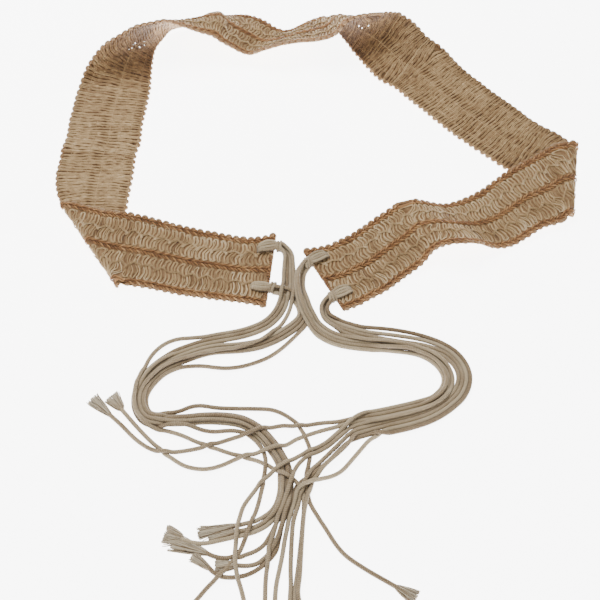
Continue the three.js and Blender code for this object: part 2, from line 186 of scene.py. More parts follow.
LAMPS = [
    # name, place in metres, size, watts
    ("lamp_over", (-0.35, 0.45, 1.1), 0.7, 19.0),
    ("lamp_front", (0.4, -0.7, 0.9), 0.8, 2.5),
]
for lamp_name, lamp_place, lamp_size, lamp_watts in LAMPS:
    lamp_data = bpy.data.lights.new(lamp_name, "AREA")
    lamp_data.size = lamp_size
    lamp_data.energy = lamp_watts
    lamp = bpy.data.objects.new(lamp_name, lamp_data)
    lamp.location = lamp_place
    direction = -np.array(lamp_place)
    lamp.rotation_euler = (
        math.acos(-direction[2] / np.linalg.norm(direction)), 0,
        math.atan2(direction[1], direction[0]) - math.pi / 2)
    bpy.context.collection.objects.link(lamp)
world = bpy.data.worlds.new("soft_room")
world.use_nodes = True
background = world.node_tree.nodes["Background"]
background.inputs["Color"].default_value = WHITE
background.inputs["Strength"].default_value = ROOM_GLOW
bpy.context.scene.world = world

# The loose cords
# Sixteen soft cotton cords, two and a half millimetres thick, leave the hitches four by four,
# loop forward together and lie over each other in front of the belt, where their ends spread.

CORD = 2.5
CORD_SIDES = 12
CORD_STEP = 1.25
CORD_SETTLE = 140                    # rounds in which the cords press each other apart
CORD_SINK = 0.06                     # how far a cord falls in one round
CORD_TETHER = 0.14                   # how strongly it keeps to its route
CORD_SOFTNESS = 0.35                 # how strongly it evens out its bends
CORD_SEARCH = 10                     # rounds between two searches for neighbours
CORD_NEAR = 1.2                      # the gap within which cords count as neighbours
CORD_PASSES = 2                      # how often a round parts the cords that press
CORD_PUSH = 0.25                     # how far one pass parts them
CORD_SHARED = 0.6                    # how much less a point moves that several cords press
HUMP_RADIUS = 16.0                   # how gently a cord comes down from a crossing
LANE_WINDOW = 19                     # steps over which a lane's way aside is evened out
LANE_KEPT, LANE_ENDED = 6, 4         # every sixth point of a lane is kept, without the last four
CURVE_STEPS = 14                     # fine steps of a curve for each point that it goes through
THREAD_LOWEST = 0.02                 # no thread dips lower over the table
SMALLEST, TINY = 0.001, 1e-9         # no gap and no vector counts as shorter where it divides

# Middle line of each hitch's four cords, from inside the wrap round the loop to where they part
LEFT_LOOP = [(-85.5, -51), (-89.2, -57.8), (-90.2, -65.2), (-88.5, -71.8), (-84.5, -76.5),
             (-79.6, -78.3), (-74, -78.6)]
BUNDLES = {
    "left_upper": [
        (-11.5, 36.6), (-8.5, 35), (-7.2, 31), (-6.9, 25), (-6.9, 16.5), (-7, 8), (-8.6, -1.6),
        (-12, -10.3), (-18.8, -17.8), (-26.3, -22.2), (-34.9, -25.6), (-43.5, -28), (-53.8, -32),
        (-63.4, -36.2), (-72.9, -40.4), (-80, -44.8), *LEFT_LOOP],
    "left_lower": [
        (-16, 7), (-12, 6.2), (-7, 4.5), (-2, 0.5), (2.2, -5.5), (2.4, -13), (-3.2, -19), (-10, -24),
        (-16.5, -27.8), (-22.5, -30.4), (-29.5, -32), (-37.8, -33), (-45, -33.2), (-53.8, -34),
        (-63.4, -37), (-72.9, -40.8), (-80, -45), *LEFT_LOOP],
    "right_upper": [
        (4.2, 25.3), (1.8, 22.5), (-0.2, 14), (-0.3, 6.5), (0.8, 0), (3, -7), (6, -14), (10.8, -20.6),
        (18, -25.8), (29, -29.2), (41.5, -30.8), (55.5, -32.4), (66.5, -34.2), (76, -38.3), (82, -45),
        (84.2, -53), (81.6, -60), (75, -66), (64, -70), (52, -73), (41, -75.6)],
    "right_lower": [
        (18.6, 0.2), (16.4, -2.6), (14.2, -6.2), (13.8, -9.5), (16.4, -13.8), (22.5, -17.6), (35.5, -22.4),
        (52, -25.2), (67, -27.8), (79.3, -31.5), (88.2, -37.5), (93, -45.5), (93.6, -53), (90, -61),
        (82.5, -68.2), (73, -74.2), (62, -78.2), (51, -80.8), (41, -83.2)],
}

# How far each cord lies to the left of its bundle's middle line, at shares of the line's length
LANE_PLACES = [0, 0.1, 0.2, 0.3, 0.41, 0.52, 0.6, 0.68, 0.78, 0.9, 1]
LANES = {
    "left_1": [1.5, 1.9, 2.8, 7, 11.5, 13.6, 7.6, 4.6, 3.7, 3, 3.4],
    "left_8": [0.5, 0.7, 1.6, 2, 1.8, 1.6, 2.4, 3.4, 2.6, 1.9, 2.3],
    "left_5": [-0.5, -0.6, -0.6, -0.5, -0.4, 0.2, 0.6, 0.8, 0.2, 0, 1.2],
    "left_4": [-1.5, -2, -2.8, -3, -2.6, -2, -1.6, -1.2, -1, -0.9, 0.2],
    "left_3": [1.5, 2.4, 3.5, 4.6, 8, 6, 2.4, 1.6, 1, 0.5, -0.8],
    "left_2": [0.5, 0.8, 1.1, 0.9, 0.4, -1, -3, -2.6, -2, -1.6, -1.8],
    "left_7": [-0.5, -0.8, -1.3, -1.3, -1.4, -2.8, -5.2, -4.4, -3.2, -2.8, -2.8],
    "left_6": [-1.5, -2.4, -3.6, -3.4, -3.2, -5, -8.6, -15.5, -2.5, -2, -3.8],
    "right_1": [-1.9, -2.3, -2.7, -2.8, -2.6, -2.6, -2.4, -2.2, -2.2, -2.6, -3.0],
    "right_2": [-0.7, -0.8, -0.9, -0.9, -1.3, -0.3, -0.4, -0.9, -0.7, -0.9, -1.0],
    "right_3": [0.7, 0.8, 0.9, 0.9, 1.6, 0.6, 1.6, 0.5, 0.8, 0.9, 1.0],
    "right_4": [1.9, 2.3, 2.7, 2.8, 2.5, 2.6, 0.9, 2.2, 2.2, 2.6, 3.0],
    "right_5": [-1.5, -1.8, -3, -4.6, -4.8, -3.2, -3, -2.8, -2.8, -3, -3.0],
    "right_6": [-0.5, -0.6, -1.4, -3, -3.2, -1.4, -1, -0.8, -0.9, -1, -1],
    "right_7": [0.5, 0.6, 1, 1.2, 1.4, 0.9, 1, 1, 0.9, 1, 1.1],
    "right_8": [1.5, 1.8, 3.4, 5.2, 4.2, 2.8, 2.6, 2.8, 2.8, 3, 3.2],
}
LAID_FIRST = ["left_4", "left_7", "left_1", "left_5", "left_2", "left_8", "left_3", "left_6",
              "right_6", "right_7", "right_5", "right_8", "right_1", "right_3", "right_2", "right_4"]

# Each cord's bundle, length, and route from where the cords part, in the order in which they lie
TAILS = {
    "right_8": ("right_lower", 310, [
        (30.5, -87.5), (25.5, -91), (20.5, -96), (14.5, -102), (8, -107.5), (1.2, -112.5), (-2.8, -117.5),
        (-5.5, -123), (-7.5, -129.5), (-9.5, -136), (-11, -143), (-14, -149.5), (-17.5, -155),
        (-22.5, -159), (-28.5, -161.6), (-35.5, -162.4), (-40.8, -161.6), (-44.6, -159.4), (-46.8, -157)]),
    "left_8": ("left_lower", 317, [
        (-64, -75.2), (-55.5, -74.3), (-42.8, -74), (-32.2, -75.6), (-25.4, -78.9), (-19.2, -83.7),
        (-13.9, -90), (-9.7, -96.3), (-6.1, -103.8), (-5, -111.3), (-5.2, -118), (-6, -123), (-7.8, -129),
        (-9.2, -135), (-11, -141.5), (-13.5, -148), (-17.5, -153), (-23, -156), (-29, -156.6),
        (-34.5, -155.9)]),
    "left_4": ("left_lower", 322, [
        (-63.5, -77.4), (-55.5, -76.4), (-43, -76.4), (-32.8, -78), (-26.6, -81), (-20.8, -85.6),
        (-15.8, -91.5), (-11.8, -97.5), (-8.4, -104.5), (-7.6, -111.5), (-8, -118), (-9.4, -124.5),
        (-12.6, -130.2), (-17, -135), (-22.5, -138.6), (-28.5, -140.8), (-34, -142), (-40.4, -143.4),
        (-47.2, -144.9), (-51.8, -145.3), (-57, -144.5), (-61.6, -142.8)]),
    "left_2": ("left_upper", 304, [
        (-63.5, -79.2), (-55, -78.4), (-43.2, -78.8), (-33.4, -80.4), (-27.8, -83.1), (-22.4, -87.5),
        (-17.7, -93), (-13.9, -98.7), (-10.9, -105.2), (-10.6, -110.5), (-10.9, -117.5), (-11.8, -123),
        (-15.8, -129), (-21.3, -132.6), (-28, -134.7), (-34.5, -136)]),
    "left_5": ("left_lower", 322, [
        (-64, -76.2), (-55.5, -75.2), (-42.9, -75.2), (-32.5, -76.8), (-26, -79.9), (-20, -84.7),
        (-14.9, -90.7), (-10.7, -96.9), (-7.2, -104.1), (-6.2, -111.4), (-6.6, -117), (-8, -122.5),
        (-10, -129), (-12.5, -135), (-15, -141), (-18, -145.5), (-22.5, -149), (-28, -151), (-34.5, -152.5),
        (-40.5, -152.6), (-44.8, -151.6), (-48.6, -149.8)]),
    "left_3": ("left_upper", 308, [
        (-63.5, -78.3), (-55, -77.4), (-43.1, -77.6), (-33.1, -79.2), (-27.2, -82.1), (-21.6, -86.5),
        (-16.8, -92.3), (-12.9, -98.1), (-9.6, -104.9), (-9.2, -111), (-9.2, -118), (-10.4, -124.5),
        (-14, -130.8), (-19.4, -135.2), (-26, -137.8), (-33.5, -139.2)]),
    "left_6": ("left_upper", 349, [
        (-65.5, -86), (-55.5, -90.5), (-47.5, -93.2), (-41, -95.6), (-35, -97.5), (-29, -99), (-20, -102),
        (-13, -106), (-6, -110), (-0.5, -114.5), (1.9, -119.5), (2.2, -126.5), (1.5, -134), (0.8, -142),
        (0, -150), (-0.8, -158.5), (-1.8, -166), (-2.2, -173.5), (0.5, -183), (4.5, -195)]),
    "left_7": ("left_upper", 348, [
        (-63, -80.6), (-55.5, -82.8), (-47.5, -84.2), (-41.5, -83.6), (-35, -83.6), (-28.8, -85.8),
        (-23.8, -89.8), (-20.4, -94.6), (-18.8, -99.4), (-18.5, -104), (-19, -108), (-20, -113.5),
        (-21, -120), (-23, -128), (-25.5, -135), (-28.5, -143), (-31, -149.5), (-34, -154), (-37.5, -158),
        (-41.5, -162), (-47, -167.5), (-52, -173.5), (-57.5, -179), (-63, -185)]),
    "right_3": ("right_upper", 351, [
        (29.5, -78.5), (19.5, -81.5), (12, -83.5), (4.5, -86), (-2, -88.5), (-8.5, -92.5), (-16.5, -94.5),
        (-25, -97), (-34, -99.5), (-42.5, -103.5), (-51, -105.5), (-61.5, -104), (-70, -99), (-78.5, -92.5),
        (-88, -83.5), (-100.2, -70.2)]),
    "left_1": ("left_lower", 355, [
        (-66.8, -71.9), (-61.4, -69.4), (-55.8, -68.6), (-46.5, -70), (-36.5, -70.4), (-24.5, -70.6),
        (-16.5, -71), (-10.5, -73), (-5, -76.5), (-1, -80), (2.5, -87), (5.5, -94), (5, -100.5),
        (4, -108.5), (3.5, -117), (5, -123.5), (9.5, -131.5), (14, -138.5), (18, -145), (23, -151),
        (33, -158), (42.5, -163.5), (49.5, -167.5)]),
    "right_2": ("right_upper", 351, [
        (30, -76.5), (24, -78), (12, -79), (-1, -81), (-9.5, -80.5), (-16.5, -82), (-26, -84.5),
        (-35.5, -87.5), (-49, -92), (-61.5, -95), (-71.5, -96), (-80.5, -94.5), (-89.5, -89), (-99, -80),
        (-106.5, -73.5)]),
    "right_5": ("right_lower", 300, [
        (30.5, -83), (24.5, -88), (18.5, -94), (12, -100.5), (6, -106.5), (2.2, -113), (0.2, -119.5),
        (-1.2, -126), (-3.5, -133.5), (-4.2, -141.5), (-4.6, -150), (-4.8, -158.5), (-4.6, -166),
        (-4.8, -173.5), (-4, -183), (-2, -191)]),
    "right_6": ("right_lower", 303, [
        (31.5, -85.5), (26.5, -91), (21, -96.5), (15, -102), (9.5, -107.5), (6, -113.5), (4, -120.5),
        (2.5, -126.5), (1.5, -135.5), (0.8, -145), (0.2, -153.5), (-0.4, -162), (-1.4, -173.5),
        (3.5, -182.5), (12, -190)]),
    "right_4": ("right_upper", 333, [
        (29.5, -80.5), (22.5, -85.5), (15.5, -92), (8, -96.5), (1, -100.5), (-3, -106), (-5, -112.5),
        (-6.5, -118), (-8.5, -124), (-11, -130), (-13, -137.5), (-15, -143.5), (-16, -150.5), (-17, -158.5),
        (-17.5, -166), (-17.5, -173.5), (-18, -183), (-18.5, -191)]),
    "right_1": ("right_upper", 345, [
        (31.5, -75.5), (27.5, -78.5), (21, -85), (14, -91), (8, -94), (1.5, -97), (-6, -101.5),
        (-12.5, -106), (-17, -109.5), (-21, -113.5), (-26, -120), (-30, -126), (-32, -134), (-33, -143),
        (-33, -153), (-32, -161), (-29.5, -168.5), (-27.5, -176.5), (-27, -187)]),
    "right_7": ("right_lower", 311, [
        (38.5, -88.5), (33.5, -94), (27.5, -101), (22.5, -106.5), (17, -109.5), (10, -111), (3.5, -113.5),
        (-0.6, -117), (-3.3, -123), (-5.5, -129.5), (-6.5, -136.5), (-8, -144), (-9, -151), (-10.5, -158.5),
        (-12, -166), (-12.5, -173.5), (-11.5, -183), (-9, -197)]),
}


def smooth_line(knots, values, places):
    """A smooth curve through values at knots, one row for each value, read at the given places"""
    knots, values = np.asarray(knots, float), np.asarray(values, float)
    gaps = np.diff(knots)
    slopes = np.diff(values, axis=0) / gaps[:, None]
    inner = (slopes[:-1] * gaps[1:, None] + slopes[1:] * gaps[:-1, None]) / (gaps[:-1] + gaps[1:])[:, None]
    tangents = np.vstack([slopes[:1], inner, slopes[-1:]])
    here = np.clip(np.searchsorted(knots, places, side="right") - 1, 0, len(gaps) - 1)
    gap = gaps[here][:, None]
    part = (np.asarray(places)[:, None] - knots[here][:, None]) / gap
    square, cube = part ** 2, part ** 3
    return ((2 * cube - 3 * square + 1) * values[here] + (cube - 2 * square + part) * gap * tangents[here]
            + (3 * square - 2 * cube) * values[here + 1] + (cube - square) * gap * tangents[here + 1])


def even_line(route, step):
    """A smooth line through a route's points, divided into even steps"""
    route = np.asarray(route, float)
    knots = np.concatenate([[0], np.cumsum(np.linalg.norm(np.diff(route, axis=0), axis=1) ** 0.5)])
    fine = smooth_line(knots, route, np.linspace(0, knots[-1], CURVE_STEPS * len(route)))
    reach = np.concatenate([[0], np.cumsum(np.linalg.norm(np.diff(fine, axis=0), axis=1))])
    places = np.linspace(0, reach[-1], max(2, round(reach[-1] / step)) + 1)
    return np.column_stack([np.interp(places, reach, column) for column in fine.T])


def evened(values, window):
    """Values evened out over a window, with both ends held"""
    return np.convolve(np.pad(values, window // 2, mode="edge"), np.full(window, 1 / window), "valid")


def lane_line(bundle, lane):
    """A cord's own line beside its bundle's middle line"""
    middle = even_line(BUNDLES[bundle], CORD_STEP)
    ahead = np.gradient(middle, axis=0)
    ahead /= np.linalg.norm(ahead, axis=1)[:, None]
    aside = evened(np.interp(np.linspace(0, 1, len(middle)), LANE_PLACES, lane), LANE_WINDOW)
    return middle + np.column_stack([-ahead[:, 1], ahead[:, 0]]) * aside[:, None]


def height_over(line, laid, floor):
    """How high a cord lies over what is already there, coming down gently from each crossing"""
    height = floor.copy()
    if len(laid):
        apart = np.linalg.norm(line[:, None] - laid[None, :, :2], axis=2)
        over = laid[None, :, 2] + np.sqrt(np.maximum(CORD ** 2 - apart ** 2, 0))
        height = np.maximum(height, np.where(apart < CORD, over, 0).max(axis=1))
    place = np.arange(len(line)) * CORD_STEP
    fall = (place[:, None] - place[None]) ** 2 / (2 * HUMP_RADIUS)
    return (height[None] - fall).max(axis=1)


def settled_cords():
    """Lays the cords one by one and lets them press each other apart until they rest"""
    names = list(TAILS)
    heads, lines, heights = {}, {}, {}
    for cord, (bundle, _, route) in TAILS.items():
        head = lane_line(bundle, LANES[cord])
        heads[cord] = len(head)
        lines[cord] = even_line(np.vstack([head[:-LANE_ENDED:LANE_KEPT], route]), CORD_STEP)
        heights[cord] = np.full(len(lines[cord]), CORD / 2)
    laid = np.zeros((0, 3))
    for cord in LAID_FIRST:
        line = lines[cord][:heads[cord]]
        heights[cord][:heads[cord]] = height_over(line, laid, heights[cord][:heads[cord]])
        laid = np.vstack([laid, np.column_stack([line, heights[cord][:heads[cord]]])])
    for cord in names:
        tail = lines[cord][heads[cord]:]
        heights[cord][heads[cord]:] = height_over(tail, laid, heights[cord][heads[cord]:])
        laid = np.vstack([laid, np.column_stack([tail, heights[cord][heads[cord]:]])])
    points = np.vstack([np.column_stack([lines[cord], heights[cord]]) for cord in names])
    owner = np.concatenate([np.full(len(lines[cord]), place) for place, cord in enumerate(names)])
    home = points[:, :2].copy()
    for turn in range(CORD_SETTLE):
        if turn % CORD_SEARCH == 0:
            near = kdtree.KDTree(len(points))
            for place, point in enumerate(points):
                near.insert(point, place)
            near.balance()
            pairs = np.array([(place, other) for place, point in enumerate(points)
                              for _, other, _ in near.find_range(point, CORD + CORD_NEAR)
                              if place < other and owner[place] != owner[other]])
        points[:, 2] -= CORD_SINK
        points[:, :2] += CORD_TETHER * (home - points[:, :2])
        for _ in range(CORD_PASSES):
            between = points[pairs[:, 0]] - points[pairs[:, 1]]
            apart = np.linalg.norm(between, axis=1)
            close = apart < CORD
            first, second = pairs[close].T
            push = between[close] * (CORD_PUSH * (CORD / np.maximum(apart[close], SMALLEST) - 1))[:, None]
            moved = np.zeros_like(points)
            touched = np.zeros(len(points))
            np.add.at(moved, first, push)
            np.add.at(moved, second, -push)
            np.add.at(touched, first, 1)
            np.add.at(touched, second, 1)
            points += moved / (np.maximum(touched, 1) ** CORD_SHARED)[:, None]
            points[:, 2] = np.maximum(points[:, 2], CORD / 2)
        same = owner[2:] == owner[:-2]
        middle = (points[2:] + points[:-2]) / 2
        eased = points.copy()
        eased[1:-1][same] += CORD_SOFTNESS * (middle[same] - points[1:-1][same])
        points = eased
        points[:, 2] = np.maximum(points[:, 2], CORD / 2)
    return {cord: points[owner == place] for place, cord in enumerate(names)}


def tubes(lines, ups, widths, heights, sides, start=0.0):
    """Corners, walls and end faces of tubes round many lines of one length. ups gives the way up at
    each point, and start turns the corners round the line."""
    ahead = np.gradient(lines, axis=1)
    ahead /= np.maximum(np.linalg.norm(ahead, axis=2, keepdims=True), TINY)
    aside = np.cross(ahead, ups)
    aside /= np.maximum(np.linalg.norm(aside, axis=2, keepdims=True), TINY)
    over = np.cross(aside, ahead)
    angles = start + 2 * np.pi * np.arange(sides) / sides
    ring = (np.cos(angles)[:, None] * aside[:, :, None] * widths[..., None, None] / 2
            + np.sin(angles)[:, None] * over[:, :, None] * heights[..., None, None] / 2)
    corners = lines[:, :, None] + ring
    count, rings = lines.shape[:2]
    index = np.arange(count * rings * sides).reshape(count, rings, sides)
    here, after = index[:, :-1], index[:, 1:]
    walls = np.stack([here, np.roll(here, -1, 2), np.roll(after, -1, 2), after], axis=-1).reshape(-1, 4)
    ends = []
    for cap in (index[:, 0, ::-1], index[:, -1]):
        for corner in range(1, sides - 1, 2):
            last = min(corner + 2, sides - 1)
            ends.append(np.stack([cap[:, 0], cap[:, corner], cap[:, corner + 1], cap[:, last]], axis=-1))
    return corners.reshape(-1, 3), walls, np.concatenate(ends)


def store_tone(piece, tone):
    """Keeps a tone at each corner of a piece, which its material reads"""
    stored = piece.data.attributes.new("tone", "FLOAT", "POINT")
    stored.data.foreach_set("value", np.ascontiguousarray(tone, np.float32).ravel())


def add_tubes(name, lines, ups, widths, heights, sides, material, tone, start=0.0):
    """One piece of many tubes, with a tone for the points of each. Fine threads with an odd number
    of sides stay open at their ends."""
    corners, walls, ends = tubes(lines, ups, widths, heights, sides, start)
    faces = walls if sides % 2 else np.concatenate([walls, ends])
    corners[:, 2] = np.maximum(corners[:, 2], THREAD_LOWEST)
    piece = add_mesh(name, placed(corners), faces, material)
    store_tone(piece, np.broadcast_to(tone[..., None], (*lines.shape[:2], sides)))
    return piece


def feed(shader, socket, value):
    value.tree.links.new(value.socket, shader.inputs[socket])


COTTON_LIGHT, COTTON_MID, COTTON_DARK = (184, 167, 136), (157, 138, 109), (115, 94, 69)
COTTON_PAINTED_SHADE = (84, 66, 46)          # painted shade, where a cord faces down to the table
COTTON_UNSHADED_FROM = 0.7                      # how far up a cord has to face to be free of the painted shade
FIBRE_STRETCH = (0.35, 14.0, 1.0)    # fibres run long along the cord and lie fine round it
PLY_SCALE = 0.31                     # gives about one ply for each millimetre along the cord
cotton, cotton_shader, cotton_place = new_material("greige_cotton", 0.82, 0.25)
cotton_cloud = cotton_place.noise(70.0)
cotton_lay = cotton_place.node("ShaderNodeUVMap", {"uv_map": "lay"}, {})
cotton_fibre = cotton_lay.node(
    "ShaderNodeVectorMath", {"operation": "MULTIPLY"}, {0: cotton_lay, 1: FIBRE_STRETCH}).noise(2.0, 3.0)
cotton_ply = cotton_lay.node(
    "ShaderNodeTexWave", {"wave_type": "BANDS", "bands_direction": "X", "wave_profile": "SIN"},
    {"Vector": cotton_lay, "Scale": PLY_SCALE, "Distortion": 0.0})
# The ply waves also lighten the crowns of the plies and darken the grooves between them: painted shade.
cotton_shade = (cotton_fibre * 0.6 + cotton_cloud * 0.35 + cotton_ply * 0.15
                + cotton_place.tone() * 0.4 - 0.2)
# A cord is painted darker on its lower sides and underside, towards the shade colour: painted shade where
# less light falls.
cotton_shade_facing = cotton_place.node(
    "ShaderNodeSeparateXYZ", {}, {"Vector": cotton_place.node("ShaderNodeNewGeometry", {}, {}, 1)}, 2)
feed(cotton_shader, "Base Color", cotton_shade_facing.ramp((0.0, 0, 0, 0), (COTTON_UNSHADED_FROM, 255, 255, 255)).mix(
    srgb(*COTTON_PAINTED_SHADE),
    cotton_shade.ramp((0.3, *COTTON_DARK), (0.5, *COTTON_MID), (0.72, *COTTON_LIGHT))))
feed(cotton_shader, "Roughness", 0.95 - 0.25 * cotton_fibre)
feed(cotton_shader, "Normal", (cotton_fibre * 0.6 + cotton_ply * 0.6).bump(0.35, 0.0004))

CORD_TWIST = 2.2                     # how far a ply runs along the cord in one turn


def add_cords(name, lines, diameter, tone, ups=(0, 0, 1)):
    """Cotton cords along lines of one length, with a layout of their plies for the material"""
    count, rings = lines.shape[:2]
    width = np.full((count, rings), diameter)
    piece = add_tubes(name, lines, np.broadcast_to(np.asarray(ups, float), lines.shape), width, width,
                      CORD_SIDES, cotton, np.broadcast_to(np.reshape(tone, (-1, 1)), (count, rings)))
    reach = np.cumsum(np.linalg.norm(np.diff(lines, axis=1, prepend=lines[:, :1]), axis=2), axis=1)
    vertex = np.zeros(len(piece.data.loops), np.int32)
    piece.data.loops.foreach_get("vertex_index", vertex)
    around = (vertex % CORD_SIDES).astype(float).reshape(-1, 4)
    over_seam = np.ptp(around, axis=1, keepdims=True) > CORD_SIDES / 2
    turned = (around + CORD_SIDES * (over_seam & (around == 0))).ravel() / CORD_SIDES
    along = reach.ravel()[vertex // CORD_SIDES] + turned * CORD_TWIST
    layout = piece.data.uv_layers.new(name="lay")
    layout.data.foreach_set("uv", np.column_stack([along, turned]).astype(np.float32).ravel())
    return piece


def dress(piece, slot, *nodes):
    """Puts a visible piece on the belt in place of the solids that stand for it"""
    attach(piece, "root")
    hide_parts(*nodes)


cord_lines = settled_cords()
cord_tones = dict(zip(TAILS, np.random.default_rng(3).uniform(0.1, 0.9, len(TAILS))))
# The cords of the right hitches are painted darker: painted shade for the shadow among the cords of the right
# loop.
RIGHT_CORDS_PAINTED_SHADE = 0.12
cords = {}
for cord_name, (bundle_name, _, _) in TAILS.items():
    cord_painted_shade = RIGHT_CORDS_PAINTED_SHADE * bundle_name.startswith("right")
    cords[cord_name] = add_cords(
        f"cord_{cord_name}", cord_lines[cord_name][None], CORD, cord_tones[cord_name] - cord_painted_shade)
    dress(cords[cord_name], "cotton_cord", f"tie_tail_{cord_name}", f"tie_bundle_{bundle_name}")

# The frayed tips
# Each cord ends in a tuft, where its cotton fibres have come apart and spread like a small brush.
# They are the cord's own, so nothing fixes them. Each fibre here stands for a fine lock of them.

TUFTS = {
    # length and width of the brush, and how gently it spreads from its neck
    "right_8": (11, 5.5, 0.7), "left_8": (10, 8, 0.6), "left_4": (10, 12, 0.55), "left_2": (20, 7, 0.8),
    "left_5": (20, 11.5, 0.85), "left_3": (15, 6.5, 0.8), "left_6": (14, 6.5, 0.8), "left_7": (14, 6.5, 0.8),
    "right_3": (10.5, 10, 0.6), "left_1": (11, 9, 0.8), "right_2": (15, 9, 0.85), "right_5": (14, 6, 0.8),
    "right_6": (14, 6.5, 0.8), "right_4": (15, 6.5, 0.8), "right_1": (14, 6.5, 0.8), "right_7": (15, 6, 0.8),
}
TUFT_FIBRES = 130
TUFT_POINTS = 8
TUFT_SEED = 40
FIBRE = 0.52
FIBRE_START = 0.4                    # how far inside the cord's last stretch the fibres start
FIBRE_HIDDEN = 1.0                   # what a fibre is longer than the brush that shows
FIBRE_SHORTEST = 0.86                # of the longest
FIBRE_NECK, FIBRE_BRUSH = 0.8, 0.92  # how much of the cord's and of the brush's width they fill
FIBRE_TIP_LIFT = 0.8                 # how much of its height in the neck a fibre keeps
FIBRE_SWAY, FIBRE_WAVE = 0.25, 0.22
FIBRE_THINNING = 0.15
FIBRE_TONE, FIBRE_TONE_SPREAD = 0.36, 0.3
FIBRE_LOWEST, FIBRE_TIP_HEIGHT = 0.25, 1.15
UP = np.array([0.0, 0, 1])

tuft_cotton, tuft_shader, tuft_place = new_material("frayed_cotton", 0.9, 0.3)
tuft_cloud = tuft_place.noise(900.0)
feed(tuft_shader, "Base Color", tuft_place.tone().ramp(
    (0.0, 88, 68, 48), (0.5, *COTTON_MID), (1.0, 198, 186, 162)))
feed(tuft_shader, "Roughness", 0.8 + 0.2 * tuft_cloud)
feed(tuft_shader, "Normal", tuft_cloud.bump(0.3, 0.0002))

for tuft_number, (cord_name, (tuft_length, tuft_width, gently)) in enumerate(TUFTS.items()):
    random = np.random.default_rng(TUFT_SEED + tuft_number)
    line = cord_lines[cord_name]
    tip = line[-1] - (line[-1] - line[-4]) * FIBRE_START
    heading = line[-1] - line[-8]
    heading[2] = 0
    heading /= np.linalg.norm(heading)
    side = np.array([-heading[1], heading[0], 0])
    radius = np.sqrt(random.uniform(0, 1, TUFT_FIBRES))
    angle = random.uniform(0, 2 * np.pi, TUFT_FIBRES)
    across, lift = radius * np.cos(angle), radius * np.sin(angle)
    share = np.linspace(0, 1, TUFT_POINTS)[None]
    reach = (tuft_length + FIBRE_HIDDEN) * random.uniform(FIBRE_SHORTEST, 1.0, TUFT_FIBRES)[:, None] * share
    spread = CORD / 2 * FIBRE_NECK * (1 - share) + tuft_width / 2 * FIBRE_BRUSH * share ** gently
    sway = random.normal(0, FIBRE_SWAY, (TUFT_FIBRES, 1)) * share ** 2 * 2
    wave = FIBRE_WAVE * np.sin(share * 7 + random.uniform(0, 6, (TUFT_FIBRES, 1))) * share
    aside = across[:, None] * spread + sway + wave
    fibres = tip[None, None] * np.array([1, 1, 0]) + reach[..., None] * heading + aside[..., None] * side
    fibres[..., 2] = np.maximum(
        tip[2] + lift[:, None] * (1 - share + FIBRE_TIP_LIFT * share)
        - (tip[2] - FIBRE_TIP_HEIGHT) * share ** 1.5, FIBRE_LOWEST)
    ups = np.broadcast_to(UP, fibres.shape)
    thick = np.broadcast_to(FIBRE * (1.0 - FIBRE_THINNING * share), fibres.shape[:2])
    # Fibres that lie higher in the brush are lighter and the lower ones darker: painted shade under the upper
    # fibres.
    tone = np.clip(random.normal(FIBRE_TONE, FIBRE_TONE_SPREAD, (TUFT_FIBRES, 1))
                   + 0.35 * share + 0.12 * lift[:, None], 0, 1)
    tuft = add_tubes(f"frayed_tip_{cord_name}", fibres, ups, thick, thick, 4, tuft_cotton, tone)
    dress(tuft, "cotton_cord", f"tuft_{cord_name}")

# The hitches
# At each corner two cords, folded in half, come up through a hole in the band, lie on its face to
# its end, and are bound there by their own loop, which crosses over them.

HITCHES = [
    # name, the band's end there, heading, top of the band, bow to the left, spread, wraps
    ("left_upper", (-15.5, 36.2), 8, 2.7, 1.0, 1.05, 2),
    ("left_lower", (-19.4, 7.5), -7, 1.7, 0.0, 0.85, 2),
    ("right_upper", (7.4, 26.2), 208, 2.7, -0.8, 0.95, 3),
    ("right_lower", (21.6, 1.9), 209, 1.7, -1.0, 1.0, 3),
]
HITCH_REACH = 10.5                   # from the hole to the end of the band
HITCH_BEYOND = 4.2                   # from there to where the strands end inside the cords
HITCH_CORD = 2.1
HITCH_LANES = (-1.5, -0.5, 0.5, 1.5)
HITCH_LANE_GAP = 1.95
HITCH_TONES = (0.3, 0.7, 0.45, 0.8)
HITCH_SUNK, HITCH_RAISED = 1.4, 2.3  # a strand starts under the face, and then rises onto it
HITCH_RISE_RUN = 2.2
HITCH_DROP_FROM, HITCH_DROP_RUN = 0.2, 3.0
HITCH_KEPT = 1.9                     # how much less than the band's height they come down past it
LOOP_POINTS = 22
WRAP_POINTS = 28
WRAP_CORD = 1.85
WRAP_PITCH = 1.65
WRAP_PLACE = 1.9                     # of the wraps' middle, past the end of the band
WRAP_HALF_WIDTH, WRAP_HALF_HEIGHT, WRAP_MIDDLE = 2.95, 1.55, 2.62
WRAP_TILT, WRAP_TILT_MORE = 10, 5    # degrees off square, for the first wrap and for each after it
WRAP_TONES = (0.35, 0.65)


def squarish(wave):
    """A wave with fuller shoulders, for a loop that is pulled flat"""
    return np.sign(wave) * np.abs(wave) ** 0.8


def hitch_points(foot, forward, leftward, ahead, aside, over):
    """Points from a hitch's foot, given ahead of it, to its left and over it"""
    return foot + ahead[:, None] * forward + aside[:, None] * leftward + over[:, None] * UP


